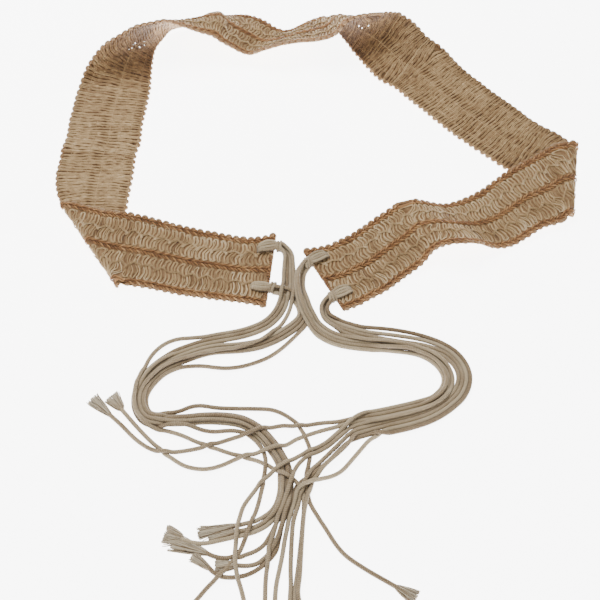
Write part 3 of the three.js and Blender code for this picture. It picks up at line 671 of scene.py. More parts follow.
for hitch_name, hitch_end, hitch_heading, hitch_top, hitch_bow, hitch_spread, wraps in HITCHES:
    turn = math.radians(hitch_heading)
    forward = np.array([math.cos(turn), math.sin(turn), 0])
    leftward = np.array([-math.sin(turn), math.cos(turn), 0])
    foot = np.array([*hitch_end, 0.0])
    share = np.linspace(0, 1, LOOP_POINTS)
    reach = -HITCH_REACH + (HITCH_REACH + HITCH_BEYOND) * share
    on_face = np.clip((reach + HITCH_REACH) / HITCH_RISE_RUN, 0, 1)
    past_end = np.clip((reach - HITCH_DROP_FROM) / HITCH_DROP_RUN, 0, 1)
    lanes = []
    for lane in HITCH_LANES:
        fan = 0.5 + 0.5 * np.sin(np.pi * np.clip(share * 1.15, 0, 1)) - 0.12 * past_end
        sideways = lane * HITCH_LANE_GAP * hitch_spread * fan + hitch_bow * np.sin(np.pi * share) ** 1.2
        rise = (hitch_top - HITCH_SUNK + on_face * (HITCH_RAISED + 0.25 * np.cos(lane * 3))
                - past_end * (hitch_top - HITCH_KEPT - 0.5 * np.cos(lane * 3)))
        lanes.append(hitch_points(foot, forward, leftward, reach, sideways, rise))
    loop = add_cords(f"hitch_loop_{hitch_name}_strands", np.array(lanes), HITCH_CORD, HITCH_TONES)
    dress(loop, "cotton_cord", f"hitch_loop_{hitch_name}")

    angle = np.linspace(0, 2 * np.pi, WRAP_POINTS)
    rings = []
    for wrap in range(wraps):
        place = WRAP_PLACE + (wrap + 1 - wraps / 2) * WRAP_PITCH
        tilt = math.radians(WRAP_TILT + WRAP_TILT_MORE * wrap)
        sideways = WRAP_HALF_WIDTH * squarish(np.cos(angle))
        rise = WRAP_MIDDLE + WRAP_HALF_HEIGHT * squarish(np.sin(angle))
        rings.append(hitch_points(
            foot, forward, leftward, place + sideways * math.tan(tilt), sideways, rise))
    wrap_cords = add_cords(f"hitch_wrap_{hitch_name}_strands", np.array(rings), WRAP_CORD,
                           np.linspace(*WRAP_TONES, wraps), forward)
    dress(wrap_cords, "cotton_cord", f"hitch_wrap_{hitch_name}")

# The band's lay and its shade sheet
# One ribbon, fifty millimetres wide, folded flat at the left and right and rolled over at the
# back. Inside it lies a dark brown sheet, painted shade that stands for the shadow seen between
# and under the straw threads.

BAND_WIDTH = 50.0
BAND_HALF = BAND_WIDTH / 2
FOLD_RADIUS = 1.8
BAND_ROWS = [
    # each row is a straight line across the band: x, y, z of its middle, heading from the lower
    # edge to the upper, rise of the upper edge, and length
    ("left front panel", 0, [
        (-17.8, 20.9, 0.8, 84, 0, 55), (-27, 20.6, 0.8, 83, 0, 49.5), (-36, 21, 0.8, 83, 0, 47.5),
        (-51, 23.4, 0.8, 80, 0, 48), (-66, 26, 1.0, 78, 0, 49), (-80, 29.2, 1.4, 78, 0, 49.5),
        (-95, 32.6, 2.2, 79, 0, 51), (-106.4, 33.9, 3.9, 93, 0, 55.2), (-116.1, 35.2, 4.6, 108, 0, 60)]),
    ("left fold", -1, [(-129.6, 39.2, 5.4, 124.9, 0, 76.1)]),
    ("left side, roll, back and right side", 0, [
        (-133, 60, 1.8, 140, 0, 62), (-134, 73, 1.8, 149, 0, 57), (-134, 86, 1.8, 158, 0, 54),
        (-133, 98, 1.8, 165, 0, 52), (-133, 110, 1.8, 172, 0, 51), (-131, 123, 1.8, 174, 0, 51),
        (-131, 136, 1.8, 175, 0, 51), (-130, 147, 1.9, 178, 0, 51), (-129, 158, 2.4, 180, 1, 51),
        (-128, 165, 3.1, 180, 2.5, 50), (-127, 172, 4.4, 181, 6, 48), (-123, 184, 10.2, 197, 21, 44),
        (-117, 194, 14.6, 215, 34, 44), (-109.5, 201, 16.6, 228, 39, 45.5), (-102, 208, 17.8, 236, 40, 47),
        (-92, 211, 18.2, 237, 40, 47.5), (-82, 214, 18.0, 236, 39, 48), (-72, 215, 16.6, 238, 34, 49.5),
        (-63, 216, 14.9, 240, 28, 51), (-50, 217, 11.4, 239, 21, 50), (-38, 213, 8.4, 242, 15, 47),
        (-27, 208, 5.9, 242, 11, 40), (-18, 206, 8.4, 247, 21, 38), (-8, 207, 10.7, 258, 28, 40),
        (1, 211, 10.3, 266, 26, 40), (10.8, 212.4, 11.7, 274.8, 25.7, 46.5),
        (20, 213.2, 14.8, 281.6, 28.4, 50), (26.5, 216.2, 18.8, 287.8, 36.2, 50.4),
        (34.5, 213, 19.0, 309.8, 47.9, 44.5), (40, 210.2, 19.0, 324.8, 49.5, 44.3),
        (43.6, 209, 18.1, 342.3, 49.6, 41.2), (47, 208, 16.8, 361, 49, 39), (51, 207, 15.2, 378, 41, 40),
        (55, 206, 13.5, 391, 33, 42), (64, 200, 9.6, 398, 19, 47), (72, 192, 6.2, 402, 9, 50),
        (83, 185, 3.9, 405, 4, 51), (91, 175.5, 2.9, 406, 2, 50), (100, 165, 2.0, 406, 0, 49),
        (109, 155, 1.8, 405, 0, 49), (118, 145, 1.8, 404, 0, 49), (129, 134, 1.8, 404, 0, 48.5),
        (139, 124, 1.8, 404, 0, 47), (148, 116, 1.8, 407, 0, 47), (156, 110, 1.8, 413, 0, 48),
        (165.6, 99.9, 1.8, 424, 0, 51.5)]),
    ("right fold", 1, [(175.4, 88, 1.8, 439, 0, 61)]),
    ("right front panel", 0, [
        (168, 85.8, 5.0, 448, 0, 61), (160.8, 80.8, 4.6, 457, 0, 56.8), (151.8, 76.1, 4.4, 461, 0, 53),
        (143.9, 72.2, 4.2, 466.5, 0, 49.8), (133.6, 65.1, 2.9, 468.5, 0, 48.5), (123, 58, 2.0, 469, -1, 46.5),
        (111, 53, 3.2, 473, -5, 43), (101, 50, 7.4, 475, -15, 43), (91, 48, 11.8, 476, -16, 45),
        (81, 47, 14.0, 476, -8, 42), (73, 47, 10.5, 478, 1, 41), (65, 42, 5.5, 477, 4, 44),
        (54, 35, 2.0, 473, 0, 47), (41, 25, 1.3, 475, -1, 47), (33, 21, 0.8, 475, 0, 47),
        (26, 17, 0.8, 474, 0, 47.5), (13.8, 13.6, 0.8, 480, 0, 51)]),
]
FOLD_STEPS = 14
ROW_STEPS = 12                       # fine rows for each row of the table
ROW_TURN = 0.25                      # the millimetres that a degree of turn counts for, between rows
ROW_TENSION = 0.6                    # the power of each gap that spaces the curve through the rows
STEEPEST = 0.25                      # the least square of the cosine of the weave's slant
SLANT_WINDOW = 9                     # rows over which the weave's slant is evened out
TURNING_SHARE = 0.6                  # how much the band's turning bends the way ahead at its edges
ROW_SEARCHES = 12                    # halvings that find a place among the rows


def across_of(rows):
    """The vector from each row's lower edge to its upper edge, for one millimetre of band"""
    turn, tip, span = np.radians(rows[:, 3]), np.radians(rows[:, 4]), rows[:, 5:6]
    way = np.column_stack([np.cos(turn) * np.cos(tip), np.sin(turn) * np.cos(tip), np.sin(tip)])
    return way * span / BAND_WIDTH


def lay_of_band():
    """Fine rows along the whole band: middle, across, length reached and slant of the weave"""
    middles, acrosses = [], []
    for place, (_, fold, rows) in enumerate(BAND_ROWS):
        rows = np.array(rows, float)
        if fold:
            across = across_of(rows)[0]
            way = across / np.linalg.norm(across)
            outward = np.cross([0, 0, 1], way) * -fold
            angle = np.linspace(0, np.pi, FOLD_STEPS + 1)[1:-1, None]
            centre = rows[0, :3] + np.array([0, 0, fold * FOLD_RADIUS])
            middle = centre + FOLD_RADIUS * (
                np.sin(angle) * outward + np.cos(angle) * np.array([0, 0, -fold]))
            across = np.repeat(across[None], len(middle), 0)
        else:
            if place:
                before = np.array(BAND_ROWS[place - 1][2], float)
                before[0, 2] += 2 * FOLD_RADIUS * BAND_ROWS[place - 1][1]
                rows = np.vstack([before, rows])
            if place < len(BAND_ROWS) - 1:
                rows = np.vstack([rows, np.array(BAND_ROWS[place + 1][2], float)])
            gap = np.linalg.norm(np.diff(rows[:, :3], axis=0), axis=1)
            gap = gap + ROW_TURN * np.abs(np.diff(rows[:, 3]))
            knots = np.concatenate([[0], np.cumsum(gap ** ROW_TENSION)])
            fine = smooth_line(knots, rows, np.linspace(0, knots[-1], ROW_STEPS * len(rows)))
            middle, across = fine[:, :3], across_of(fine)
        middles.append(middle)
        acrosses.append(across)
    folds, first = [], 0
    for (_, fold, _), part in zip(BAND_ROWS, middles):
        if fold:
            folds.append((first, first + len(part)))
        first += len(part)
    middle, across = np.vstack(middles), np.vstack(acrosses)
    step = np.linalg.norm(np.diff(middle, axis=0), axis=1)
    ahead = np.gradient(middle, axis=0)
    ahead /= np.linalg.norm(ahead, axis=1)[:, None]
    slant = (across * ahead).sum(axis=1)
    for first, last in folds:
        slant[first - 2:last + 2] = (slant[first - 3] + slant[last + 2]) / 2
    slant = evened(slant, SLANT_WINDOW)
    steep = np.sqrt(np.maximum(1 - (slant / np.linalg.norm(across, axis=1)) ** 2, STEEPEST))
    for first, last in folds:
        step[first - 1:last] /= steep[first - 1:last]
    return middle, across, np.concatenate([[0], np.cumsum(step)]), slant


band_middle, band_across, band_reach, band_slant = lay_of_band()
band_ahead = np.gradient(band_middle, axis=0)
band_turning = np.gradient(band_across, axis=0)
BAND_LENGTH = band_reach[-1]

# Two buckles at the back, and thin places in the rolls where light comes through
BUCKLES = [
    # where the middle of the band is there, its run before and after along the band, and height
    (-57, 217, 15.0, 6.5, 6.5), (31, 213.3, 12.0, 12.0, 2.0),
]
THIN_PLACES = [
    # where the middle of the band is there, place across it, half its size along and across it
    (-117.5, 193, -1, 1.1, 1.9), (-115.5, 196, -1, 0.9, 1.5), (-114.5, 197.5, -9, 1.0, 1.8),
    (-112, 199.5, -9, 1.1, 2.0), (-109.5, 201, -9, 1.0, 1.8), (-105, 205.5, 4, 0.8, 1.4),
    (42, 209.5, -2, 0.9, 1.8), (43.5, 209, -2, 0.9, 1.6), (47, 208, 4, 0.8, 1.4), (55, 206, 12, 0.8, 1.3),
]


def reach_at(place):
    """The place along the band where its middle line passes nearest to a point of the table"""
    return band_reach[np.argmin(np.linalg.norm(band_middle[:, :2] - np.array(place), axis=1))]


buckles = [(reach_at((x, y)), *rest) for x, y, *rest in BUCKLES]
thin_places = [(reach_at((x, y)), *rest) for x, y, *rest in THIN_PLACES]
PARTED_WITHIN = 2.4                  # how far round a thin place the threads are pushed aside
BUCKLE_SLOPE = 1.7                   # the power that rounds a buckle's top


def parted(along, aside):
    """Threads pushed aside round the thin places, and how buckled the band is at each point"""
    for thin_along, thin_aside, thin_run, thin_half in thin_places:
        off_along, off_aside = (along - thin_along) / thin_run, (aside - thin_aside) / thin_half
        away = np.maximum(np.hypot(off_along, off_aside), 0.02)
        push = np.where(away < PARTED_WITHIN, 1 + away * (PARTED_WITHIN - 1) / PARTED_WITHIN - away, 0) / away
        along, aside = along + off_along * push * thin_run, aside + off_aside * push * thin_half
    lift = 0.0
    for buckle_along, before, past, height in buckles:
        off = along - buckle_along
        lift = lift + height * np.exp(-np.abs(off / np.where(off < 0, before, past)) ** BUCKLE_SLOPE)
    return along, aside, lift * (1 - (aside / BAND_HALF) ** 2).clip(0)


def on_band(along, aside, over):
    """Points on the band, and the way outward at each, from the place along it, the place across
    it from -25 at the lower edge to 25 at the upper, and the height over its middle surface"""
    along, aside, over = np.broadcast_arrays(
        np.asarray(along, float), np.asarray(aside, float), np.asarray(over, float))
    along, aside, buckle = parted(along, aside)
    low = np.zeros(along.shape, int)
    high = np.full(along.shape, len(band_reach) - 1)
    for _ in range(ROW_SEARCHES):
        half = (low + high) // 2
        past = band_reach[half] + aside * band_slant[half] > along
        high = np.where(past, half, high)
        low = np.where(past, low, half)
    after = np.minimum(low + 1, len(band_reach) - 1)
    start = band_reach[low] + aside * band_slant[low]
    gap = np.maximum(band_reach[after] + aside * band_slant[after] - start, SMALLEST)
    part = np.clip((along - start) / gap, 0, 1)[..., None]

    def between(values):
        return values[low] * (1 - part) + values[after] * part

    across = between(band_across)
    ahead = between(band_ahead) + TURNING_SHARE * aside[..., None] * between(band_turning)
    outward = np.cross(across, ahead)
    outward /= np.maximum(np.linalg.norm(outward, axis=-1, keepdims=True), TINY)
    return between(band_middle) + aside[..., None] * across + (over + buckle)[..., None] * outward, outward


def end_slant(along):
    """The slant of the band's ends, shared out along it"""
    return np.interp(along, [0, BAND_LENGTH], [band_slant[0], band_slant[-1]])


def band_tubes(name, along, aside, over, width, height, sides, material, tone, start=0.0):
    """A piece of many threads that lie on the band"""
    points, outward = on_band(along, aside, over)
    shape = points.shape[:2]
    return add_tubes(name, points, outward, np.broadcast_to(width, shape), np.broadcast_to(height, shape),
                     sides, material, np.broadcast_to(tone, shape), start)


# The sheet's dark brown is painted shade, with soft patches. Its under side is darker still.
shade_sheet_material, shade_sheet_shader, shade_sheet_place = new_material("brown_shade_sheet", 0.9)
shade_sheet_cloud = shade_sheet_place.noise(320.0, 3.0)
feed(shade_sheet_shader, "Base Color", shade_sheet_place.tone().mix(
    shade_sheet_cloud.ramp((0.35, 80, 58, 36), (0.7, 116, 88, 58)),
    shade_sheet_cloud.ramp((0.35, 111, 84, 55), (0.7, 149, 120, 86))))
feed(shade_sheet_shader, "Normal", shade_sheet_cloud.bump(0.4, 0.0003))

STRIP_NODES = ("straw_strip_lower", "straw_strip_upper")
SHEET_LOW, SHEET_HIGH = -23.9, 23.4
SHEET_THICK = 0.25
SHEET_ROWS, SHEET_COLUMNS = 860, 33
HOLE_HALF_RUN, HOLE_HALF = 0.7, 1.0
sheet_along = np.linspace(0, BAND_LENGTH, SHEET_ROWS)
sheet_aside = np.linspace(SHEET_LOW, SHEET_HIGH, SHEET_COLUMNS)
sheet_reach = sheet_along[:, None] + sheet_aside * end_slant(sheet_along)[:, None]
sheet_points = np.stack([on_band(sheet_reach, sheet_aside[None], layer)[0]
                          for layer in (-SHEET_THICK, SHEET_THICK)])
under, top = np.arange(sheet_points[..., 0].size).reshape(sheet_points.shape[:3])
cell_along = (sheet_reach[:-1, :-1] + sheet_reach[1:, 1:]) / 2
cell_aside = (sheet_aside[None, :-1] + sheet_aside[None, 1:]) / 2
kept = np.ones((len(sheet_along) + 1, len(sheet_aside) + 1), bool)
kept[[0, -1]], kept[:, [0, -1]] = False, False
for thin_along, thin_aside, _, _ in thin_places:
    kept[1:-1, 1:-1] &= ((np.abs(cell_along - thin_along) > HOLE_HALF_RUN)
                         | (np.abs(cell_aside - thin_aside) > HOLE_HALF))
inside = kept[1:-1, 1:-1]
sheet_faces = [
    np.stack([top[:-1, :-1], top[1:, :-1], top[1:, 1:], top[:-1, 1:]], axis=-1)[inside],
    np.stack([under[:-1, 1:], under[1:, 1:], under[1:, :-1], under[:-1, :-1]], axis=-1)[inside]]
for rim, first, second in (
        (kept[:-2, 1:-1], (slice(None, -1), slice(1, None)), (slice(None, -1), slice(None, -1))),
        (kept[2:, 1:-1], (slice(1, None), slice(None, -1)), (slice(1, None), slice(1, None))),
        (kept[1:-1, :-2], (slice(None, -1), slice(None, -1)), (slice(1, None), slice(None, -1))),
        (kept[1:-1, 2:], (slice(1, None), slice(1, None)), (slice(None, -1), slice(1, None)))):
    wall = np.stack([under[first], under[second], top[second], top[first]], axis=-1)
    sheet_faces.append(wall[inside & ~rim])
shade_sheet = add_mesh(
    "band_shade_sheet", placed(sheet_points.reshape(-1, 3)), np.concatenate(sheet_faces), shade_sheet_material)
# The under side, seen through the slits of the inner face, takes the darker colour: painted shade in the
# slits.
store_tone(shade_sheet, np.repeat([0, 1], sheet_points[0, ..., 0].size))
dress(shade_sheet, "looped_straw", *STRIP_NODES)

# The looped straw
# Two strips of beige raffia. In each, a pair of threads runs to and fro across the strip and turns
# in hairpins at both of its sides, and a wider band of threads winds along on top of them.

PITCH = 4.56
THREAD = 0.72
THREAD_GAP = 0.64
STRAW_INNER, STRAW_OUTER = 2.5, 19.3
STRAW_STRIPS = [
    # name, side of the middle line, and how far from it the winding threads run
    ("lower", -1, 9.8), ("upper", 1, 11.6),
]
HAIRPIN_POINTS = 6
HAIRPIN_PLACE, LEG_PLACE = 0.08, 0.14    # where hairpins turn and legs start, as shares of the way
STRAW_DRIFT, DRIFT_WINDOW = 0.5, 9   # how far a thread drifts, and over how many pitches it evens out
STRAW_WANDER, STRAW_SHAKE = 0.24, 0.15   # how uneven the pitches are, and how shaky each thread
LEAN, LEAN_CHANGE = 1.3, 0.5         # how far a leg bows to and fro on its way
OUTER_UNEVEN = 0.45                  # how unevenly the hairpins end by the edging braid
STRAW_LEVEL = 0.62
PRESSED, PRESSED_RUN = 0.2, 3.4      # how deep and how wide the winding threads press the legs
STRAW_TONE = 0.56


def raffia(name, roughness, smoother, patches, fibres, relief, *stops):
    """Raffia whose colour follows the stored tone, with fine fibres and perhaps soft patches, each
    given as scale and strength. Its roughness falls by the smoother amount where a fibre stands out."""
    material, shader, place = new_material(name, roughness, 0.1)
    fine = place.noise(fibres[0])
    shade = place.tone()
    if patches:
        shade = shade + (place.noise(patches[0], 3.0) - 0.5) * patches[1]
    shade = shade + (fine - 0.5) * fibres[1]
    feed(shader, "Base Color", shade.ramp(*stops))
    feed(shader, "Roughness", roughness + smoother / 2 - smoother * fine)
    feed(shader, "Normal", fine.bump(relief, 0.0002))
    return material


straw = raffia("beige_raffia", 0.625, 0.25, (38.0, 0.4), (1400.0, 0.25), 0.25,
               (0.0, 72, 48, 28), (0.3, 132, 102, 66), (0.6, 178, 148, 106), (1.0, 218, 195, 156))


def pitches_on(aside, pitch):
    """How many pitches fit along one line of the band, and a function that gives the place along
    the band for a place counted in them"""
    grid = np.linspace(aside * band_slant[0], BAND_LENGTH + aside * band_slant[-1], 2400)
    points = on_band(grid, aside, 0.0)[0]
    reach = np.concatenate([[0], np.cumsum(np.linalg.norm(np.diff(points, axis=0), axis=1))])
    count = int(reach[-1] // pitch)
    return count, lambda place: np.interp(place, reach * count / reach[-1], grid)


def hairpin_line(offset):
    """One pitch of a thread: out across the strip, round a hairpin, back, and round the next.
    Gives the place along in millimetres, the share of the way across, and the reach beyond."""
    turn = np.linspace(0, np.pi, HAIRPIN_POINTS)
    leg = np.linspace(LEG_PLACE, 1 - LEG_PLACE, HAIRPIN_POINTS)
    half = PITCH / 2
    outer, inner = half / 2 + offset, half / 2 - offset
    along = np.concatenate([
        np.full(HAIRPIN_POINTS, -offset), half / 2 - outer * np.cos(turn),
        np.full(HAIRPIN_POINTS, half + offset), half + half / 2 - inner * np.cos(turn)])
    across = np.concatenate([leg, 1 - HAIRPIN_PLACE + 0 * turn, leg[::-1], HAIRPIN_PLACE + 0 * turn])
    beyond = np.concatenate([0 * leg, outer * np.sin(turn), 0 * leg, -inner * np.sin(turn)])
    return along, across, beyond


WINDING_THREADS = 2
WINDING_POINTS = 20
WINDING_GAP = 0.72
WINDING_SWING, WINDING_SWING_CHANGE = 2.4, 0.6
WINDING_LEAN = 1.35
WINDING_LEVEL = 1.0
WINDING_WIDTH, WINDING_HEIGHT = 0.6, 0.55
WINDING_TONE = 0.62
for strip_name, strip_side, winding_middle in STRAW_STRIPS:
    random = np.random.default_rng(7 + strip_side)
    count, along_at = pitches_on(strip_side * 11, PITCH)
    rows = np.arange(count)[:, None]
    drift = np.convolve(random.normal(0, STRAW_DRIFT, count + DRIFT_WINDOW - 1),
                        np.full(DRIFT_WINDOW, 1 / DRIFT_WINDOW), "valid")[:, None]
    wander = drift + random.normal(0, STRAW_WANDER, (count, 1))
    lean = LEAN + LEAN_CHANGE * np.sin(rows * 0.11 + strip_side)
    alongs, asides, overs, tones = [], [], [], []
    for thread in (-0.5, 0.5):
        along, across, beyond = hairpin_line(thread * THREAD_GAP)
        bend = lean * np.sin(2 * np.pi * across)
        noise = random.normal(0, STRAW_SHAKE, (count, len(along)))
        where = rows + (along + bend + wander + noise) / PITCH
        out = STRAW_INNER + across * (STRAW_OUTER - STRAW_INNER) + beyond
        out = out + random.normal(0, STRAW_SHAKE, (count, len(along)))
        out = out + random.normal(0, OUTER_UNEVEN, (count, 1)) * (across > 0.5)
        crossed = np.exp(-((out - winding_middle) / PRESSED_RUN) ** 2)
        alongs.append(along_at(where.ravel()))
        asides.append(strip_side * out.ravel())
        overs.append((STRAW_LEVEL - PRESSED * crossed + random.normal(0, 0.05, where.shape)).ravel())
        tip = np.maximum(np.abs(across - 0.5) - 0.33, 0) / 0.09
        # The legs are painted darker where the winding threads cross over them: painted shade under the
        # winding threads.
        shade = STRAW_TONE - 0.06 * crossed + 0.12 * tip * (across > 0.5) + 0.12 * thread
        shade = shade + random.normal(0, 0.12, (count, 1))
        tones.append((shade + random.normal(0, 0.05, where.shape)).ravel())
    legs = band_tubes(
        f"looped_straw_{strip_name}", np.array(alongs), np.array(asides), np.array(overs),
        THREAD, THREAD * 0.85, 5, straw, np.clip(np.array(tones), 0, 1))
    dress(legs, "looped_straw", f"straw_strip_{strip_name}")

    phase = np.arange(count // 2 * WINDING_POINTS) * 2 * np.pi / WINDING_POINTS
    rows = phase / (2 * np.pi)
    swing = np.repeat(random.normal(WINDING_SWING, WINDING_SWING_CHANGE, count // 2), WINDING_POINTS)
    follow = np.interp(rows * 2, np.arange(count), drift.ravel())
    middle_along = (rows * 2 + 0.3) * PITCH - WINDING_LEAN * np.sin(2 * phase) + follow
    middle_out = winding_middle - swing * np.cos(phase) + 0.3 * np.sin(rows * 1.3)
    heading = np.stack([np.gradient(middle_along), np.gradient(middle_out)])
    heading /= np.linalg.norm(heading, axis=0)
    offsets = (np.arange(WINDING_THREADS) - (WINDING_THREADS - 1) / 2)[:, None] * WINDING_GAP
    rise = WINDING_LEVEL + 0.12 * np.cos(phase) + random.normal(0, 0.04, (WINDING_THREADS, len(phase)))
    # Each winding thread is painted lighter where it rides higher and darker where it dips: painted shade.
    winding = band_tubes(
        f"winding_straw_{strip_name}", along_at((middle_along - offsets * heading[1]) / PITCH),
        strip_side * (middle_out + offsets * heading[0]), rise, WINDING_WIDTH, WINDING_HEIGHT, 5, straw,
        np.clip(WINDING_TONE + random.normal(0, 0.08, (WINDING_THREADS, 1)) + 0.12 * np.cos(phase)
                + random.normal(0, 0.1, (WINDING_THREADS, len(phase))), 0, 1))
    dress(winding, "looped_straw", f"straw_strip_{strip_name}")

# The brown braids
# The centre line and the two edging braids are orange-brown raffia, plaited so that long slanted
# strokes from both sides meet on a dark line, every other one standing a little higher.

STROKE_PITCH = 2.28
STROKE_RUN = 3.3
STROKE_POINTS = 6
STROKE_WIDTHS = (1.15, 0.85)         # of the strokes that stand higher, and of those between
STROKE_TONES = (0.68, 0.5)
STROKE_LOWER = 0.72                  # how high the strokes between stand
STROKE_INNER, STROKE_SHORT = 0.15, 0.55   # from the middle line, and less than the half width
STROKE_LEVEL = 0.3
BRAIDS = [
    # name, middle line across the band, half width, height over the ground
    ("centre_braid", 0.0, 2.5, 0.95),
    ("edge_braid_lower", -21.4, 2.3, 0.85),
    ("edge_braid_upper", 21.4, 2.3, 0.85),
]

brown = raffia("brown_raffia", 0.6, 0.3, (45.0, 0.7), (1400.0, 0.3), 0.25,
               (0.0, 86, 56, 32), (0.35, 136, 94, 56), (0.65, 172, 128, 82), (1.0, 200, 162, 116))

stroke_share = np.linspace(0, 1, STROKE_POINTS)[None]
for braid_number, (braid_name, braid_middle, braid_half, braid_top) in enumerate(BRAIDS):
    random = np.random.default_rng(20 + braid_number)
    count, along_at = pitches_on(braid_middle, STROKE_PITCH)
    rows = np.arange(count)[:, None]
    main = rows % 2 == 0
    alongs, asides, overs, widths, tones = [], [], [], [], []
    for side in (-1, 1):
        start = rows + 1 + (0.5 if side > 0 else 0.0) + random.normal(0, 0.05, (count, 1))
        alongs.append(along_at(start - STROKE_RUN / STROKE_PITCH * stroke_share))
        asides.append(
            braid_middle + side * (STROKE_INNER + (braid_half - STROKE_SHORT) * stroke_share ** 1.15)
            + random.normal(0, 0.07, (count, 1)))
        overs.append(STROKE_LEVEL + np.where(main, braid_top, braid_top * STROKE_LOWER)
                     * np.sin(np.pi * (0.18 + 0.68 * stroke_share)) + random.normal(0, 0.04, (count, 1)))
        widths.append(np.where(main, *STROKE_WIDTHS) * np.sin(np.pi * (0.2 + 0.62 * stroke_share)))
        # Each stroke is painted darker towards the middle line, where it dips into the groove between the two
        # rows: painted shade, which makes the dark line.
        tones.append(np.where(main, *STROKE_TONES) - 0.35 * (1 - stroke_share) ** 2
                     + random.normal(0, 0.1, (count, 1)))
    width = np.concatenate(widths)
    braid = band_tubes(
        braid_name + "_strokes", np.concatenate(alongs), np.concatenate(asides), np.concatenate(overs),
        width, width * 0.8, 5, brown, np.clip(np.concatenate(tones), 0, 1))
    dress(braid, "brown_braid", braid_name)

# The picots
# Each edge ends in a row of small round loops of a twisted grey-brown cord, one for each hairpin
# of the straw. They stand out more on the upper edge than on the lower.

PICOT_POINTS = 10
PICOT_TURN, PICOT_TURN_FROM = 1.35, -0.175   # in half turns of its loop
PICOT_LEVEL = 0.25
NEAR_FOLD = 3.2                      # a loop so close to a fold's corner is flattened by it
FLATTENED = 0.35
PICOT_EDGES = [
    # edge, side, middle of the loops across the band, half their width along it, reach, thickness
    ("lower", -1, 22.9, 0.95, 1.35, 1.9),
    ("upper", 1, 22.9, 1.3, 1.15, 2.1),
]
picot_brown = raffia("picot_raffia", 0.75, 0.2, None, (1200.0, 0.3), 0.3,
                     (0.0, 92, 62, 38), (0.4, 136, 100, 66), (0.7, 146, 116, 84), (1.0, 158, 134, 108))

picot_share = np.linspace(0, 1, PICOT_POINTS)[None]
fold_places = [np.argmin(np.linalg.norm(band_middle - np.array(rows[0][:3]), axis=1))
               for _, fold, rows in BAND_ROWS if fold]
for edge_name, edge_side, picot_middle, picot_half, picot_reach, picot_thick in PICOT_EDGES:
    random = np.random.default_rng(30 + edge_side)
    count, along_at = pitches_on(edge_side * 23.5, PITCH)
    rows = np.arange(count)[:, None] + 0.5 + random.normal(0, 0.03, (count, 1))
    turn = np.pi * (PICOT_TURN * picot_share + PICOT_TURN_FROM)
    size = 1 + random.normal(0, 0.07, (count, 1))
    for fold in fold_places:
        from_fold = along_at(rows) - band_reach[fold] - edge_side * picot_middle * band_slant[fold]
        size = np.where(np.abs(from_fold) < NEAR_FOLD, FLATTENED, size)
    alongs = along_at(rows - picot_half / PITCH * np.cos(turn) * size)
    asides = edge_side * (picot_middle + picot_reach * np.sin(turn) * size)
    overs = PICOT_LEVEL + 0.25 * np.sin(turn) + random.normal(0, 0.08, (count, 1))
    tones = 0.3 + 0.45 * np.sin(turn).clip(0) + random.normal(0, 0.08, (count, 1))
    picots = band_tubes(
        f"picots_{edge_name}", alongs, asides, overs, picot_thick, picot_thick * 0.95, 8, picot_brown,
        np.clip(tones, 0, 1))
    dress(picots, "brown_braid", f"edge_braid_{edge_name}")

# The bound ends
# Across both ends the threads are held by a row of close brown stitches, taken over the edge.
# They are sewn through the band with raffia of the picots' grey-brown.

BINDING_PITCH = 1.5
BINDING_REACH = 23.0
BINDING_POINTS = 9
BINDING_TURN = (-0.62, 1.15)         # from under the band over its face, in half turns
BINDING_WIDTH, BINDING_HEIGHT = 1.35, 0.7
BINDING_TONE = 0.3
binding_turn = np.linspace(*BINDING_TURN, BINDING_POINTS)[None] * np.pi
for end_name, end_place, end_way in (("left", 0.0, 1), ("right", BAND_LENGTH, -1)):
    random = np.random.default_rng(60 + end_way)
    slant = band_slant[0 if end_way > 0 else -1]
    rows = np.arange(-BINDING_REACH, BINDING_REACH, BINDING_PITCH)[:, None]
    rows = rows + random.normal(0, 0.15, rows.shape)
    size = 1 + random.normal(0, 0.12, rows.shape)
    alongs = end_place + rows * slant + end_way * (0.85 - 1.0 * np.cos(binding_turn - 0.3) * size)
    overs = 0.15 + 0.75 * np.sin(binding_turn) * size
    binding = band_tubes(
        f"end_binding_{end_name}", alongs, rows + 0.35 * binding_turn, overs,
        BINDING_WIDTH, BINDING_HEIGHT, 6, picot_brown,
        np.clip(BINDING_TONE + random.normal(0, 0.12, rows.shape), 0, 1))
    dress(binding, "brown_braid", *STRIP_NODES)

# The inner face
# Behind, the band shows its plain weft: flat straw threads straight across, which part in short
# slits near the edges and the middle, held by a few pale chain-stitched lines along the band.

WEFTS = 4
WEFT_POINTS = 29
WEFT_REACH = 23.6
WEFT_HEIGHT = 0.62
WEFT_TONE = 0.58
SLIT_ZONES = [
    # middle across the band, half length, how often, how open
    (-20.8, 2.1, 1.0, 1.0), (20.6, 1.7, 1.0, 0.9), (0.6, 2.0, 0.75, 0.85), (-14.2, 1.3, 0.45, 0.7),
    (-7.8, 1.4, 0.35, 0.55), (8.2, 1.5, 0.4, 0.55), (14.4, 1.4, 0.4, 0.55),
]
ROLLS = [(-112, 199), (40, 210.5)]    # where the face curls over, painted darker there as painted shade
ROLL_RUN = 29.0
ROLL_WEFTS_PAINTED_SHADE, ROLL_CHAINS_PAINTED_SHADE = 0.42, 0.36
SLIT_PULL, SLIT_THINNING = 0.27, 0.34
INNER_LEVEL = -0.5
weft_aside = np.linspace(-WEFT_REACH, WEFT_REACH, WEFT_POINTS)[None]
random = np.random.default_rng(55)
weft_rows, along_at = pitches_on(0.0, PITCH)
weft_count = weft_rows * WEFTS
rows = np.arange(weft_count)[:, None]
dashes = random.normal(0, 1, (weft_count, WEFT_POINTS + 2))
dashes = (dashes[:, :-2] + dashes[:, 1:-1]) / 2
slit = (rows % 2 == 0) * np.clip(0.22 + 0.45 * dashes, 0, 0.6)
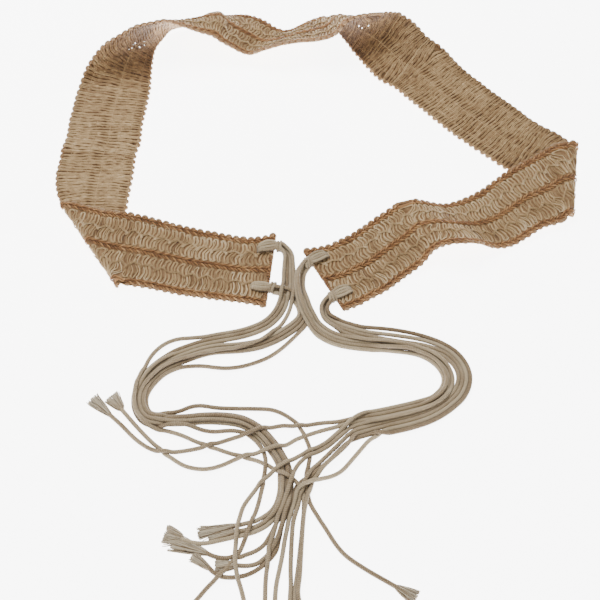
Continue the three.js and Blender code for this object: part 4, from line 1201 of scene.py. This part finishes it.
for zone_middle, zone_half, often, opened in SLIT_ZONES:
    pulled = (rows % 2 == 0) * (random.uniform(0, 1, (weft_count, 1)) < often)
    if often == 1.0:
        pulled = pulled * np.where(rows % WEFTS == 0, 1, 0.55)
    pulled = pulled * random.uniform(0.75, 1.2, (weft_count, 1))
    place = zone_middle + random.normal(0, 0.35, (weft_count, 1))
    slit = np.maximum(slit, opened * pulled * np.clip(1.7 - np.abs(weft_aside - place) / zone_half, 0, 1))
after = np.roll(slit, -1, axis=0)
sway = np.cumsum(random.normal(0, 0.03, (weft_count, WEFT_POINTS)), axis=1)
sway -= sway.mean(axis=1, keepdims=True)
where = ((rows + 0.5 + SLIT_PULL * slit - SLIT_PULL * after) / WEFTS + sway / PITCH
         + 0.06 * np.sin(weft_aside * 0.35))
roll_reaches = [reach_at(place) for place in ROLLS]


def roll_shade_share(along):
    """How far into a roll a place along the band is, from 0 to 1, which sets the painted shade there"""
    return sum(np.exp(-((along - reach) / ROLL_RUN) ** 2) for reach in roll_reaches)


face_share = along_at(rows / WEFTS) / BAND_LENGTH
tone = WEFT_TONE - 0.16 * face_share + random.normal(0, 0.05, (weft_count, 1))
tone = tone + random.normal(0, 0.06, where.shape)
# The wefts are painted darker beside the slits and in the rolls: painted shade at the slits' edges and where
# the face curls over.
tone = tone - 0.12 * (slit + after) - ROLL_WEFTS_PAINTED_SHADE * roll_shade_share(along_at(rows / WEFTS))
weft_edges = on_band(along_at(np.arange(weft_count + 1)[:, None] / WEFTS), weft_aside, INNER_LEVEL)[0]
weft_width = np.linalg.norm(np.diff(weft_edges, axis=0), axis=2).clip(0.5, 2.2)
wefts = band_tubes(
    "inner_wefts", along_at(where), np.broadcast_to(weft_aside, where.shape),
    INNER_LEVEL + random.normal(0, 0.04, where.shape),
    1.4 * weft_width * (1 - SLIT_THINNING * slit - SLIT_THINNING * after),
    WEFT_HEIGHT, 4, straw, np.clip(tone, 0, 1), np.pi / 4)
dress(wefts, "looped_straw", *STRIP_NODES)

CHAIN_LINES = [
    # place across the band, thickness, tone
    (-17.6, 0.4, 0.52), (-3.6, 0.5, 0.6), (17.0, 0.4, 0.52), (-10.8, 0.35, 0.46), (5.6, 0.35, 0.46),
    (-23.3, 1.2, 0.6),
]
CHAIN_STEP = 1.14
CHAIN_ZIGZAG = 0.2
CHAIN_HEIGHT = 0.4
CHAIN_LEVEL, EDGE_CHAIN_LEVEL = -0.68, -0.35
chain_along = np.arange(0, BAND_LENGTH, CHAIN_STEP)
chain_aside, chain_thick, chain_tone = np.array(CHAIN_LINES).T[..., None]
chain_zigzag = np.where(np.arange(len(chain_along)) % 2, CHAIN_ZIGZAG, -CHAIN_ZIGZAG)
# The chain lines get the same painted shade in the rolls.
chains = band_tubes(
    "inner_chain_lines", chain_along + chain_aside * end_slant(chain_along), chain_aside + chain_zigzag,
    np.where(chain_thick < 1, CHAIN_LEVEL, EDGE_CHAIN_LEVEL), chain_thick, CHAIN_HEIGHT, 4, straw,
    chain_tone - ROLL_CHAINS_PAINTED_SHADE * roll_shade_share(chain_along))
dress(chains, "looped_straw", *STRIP_NODES)
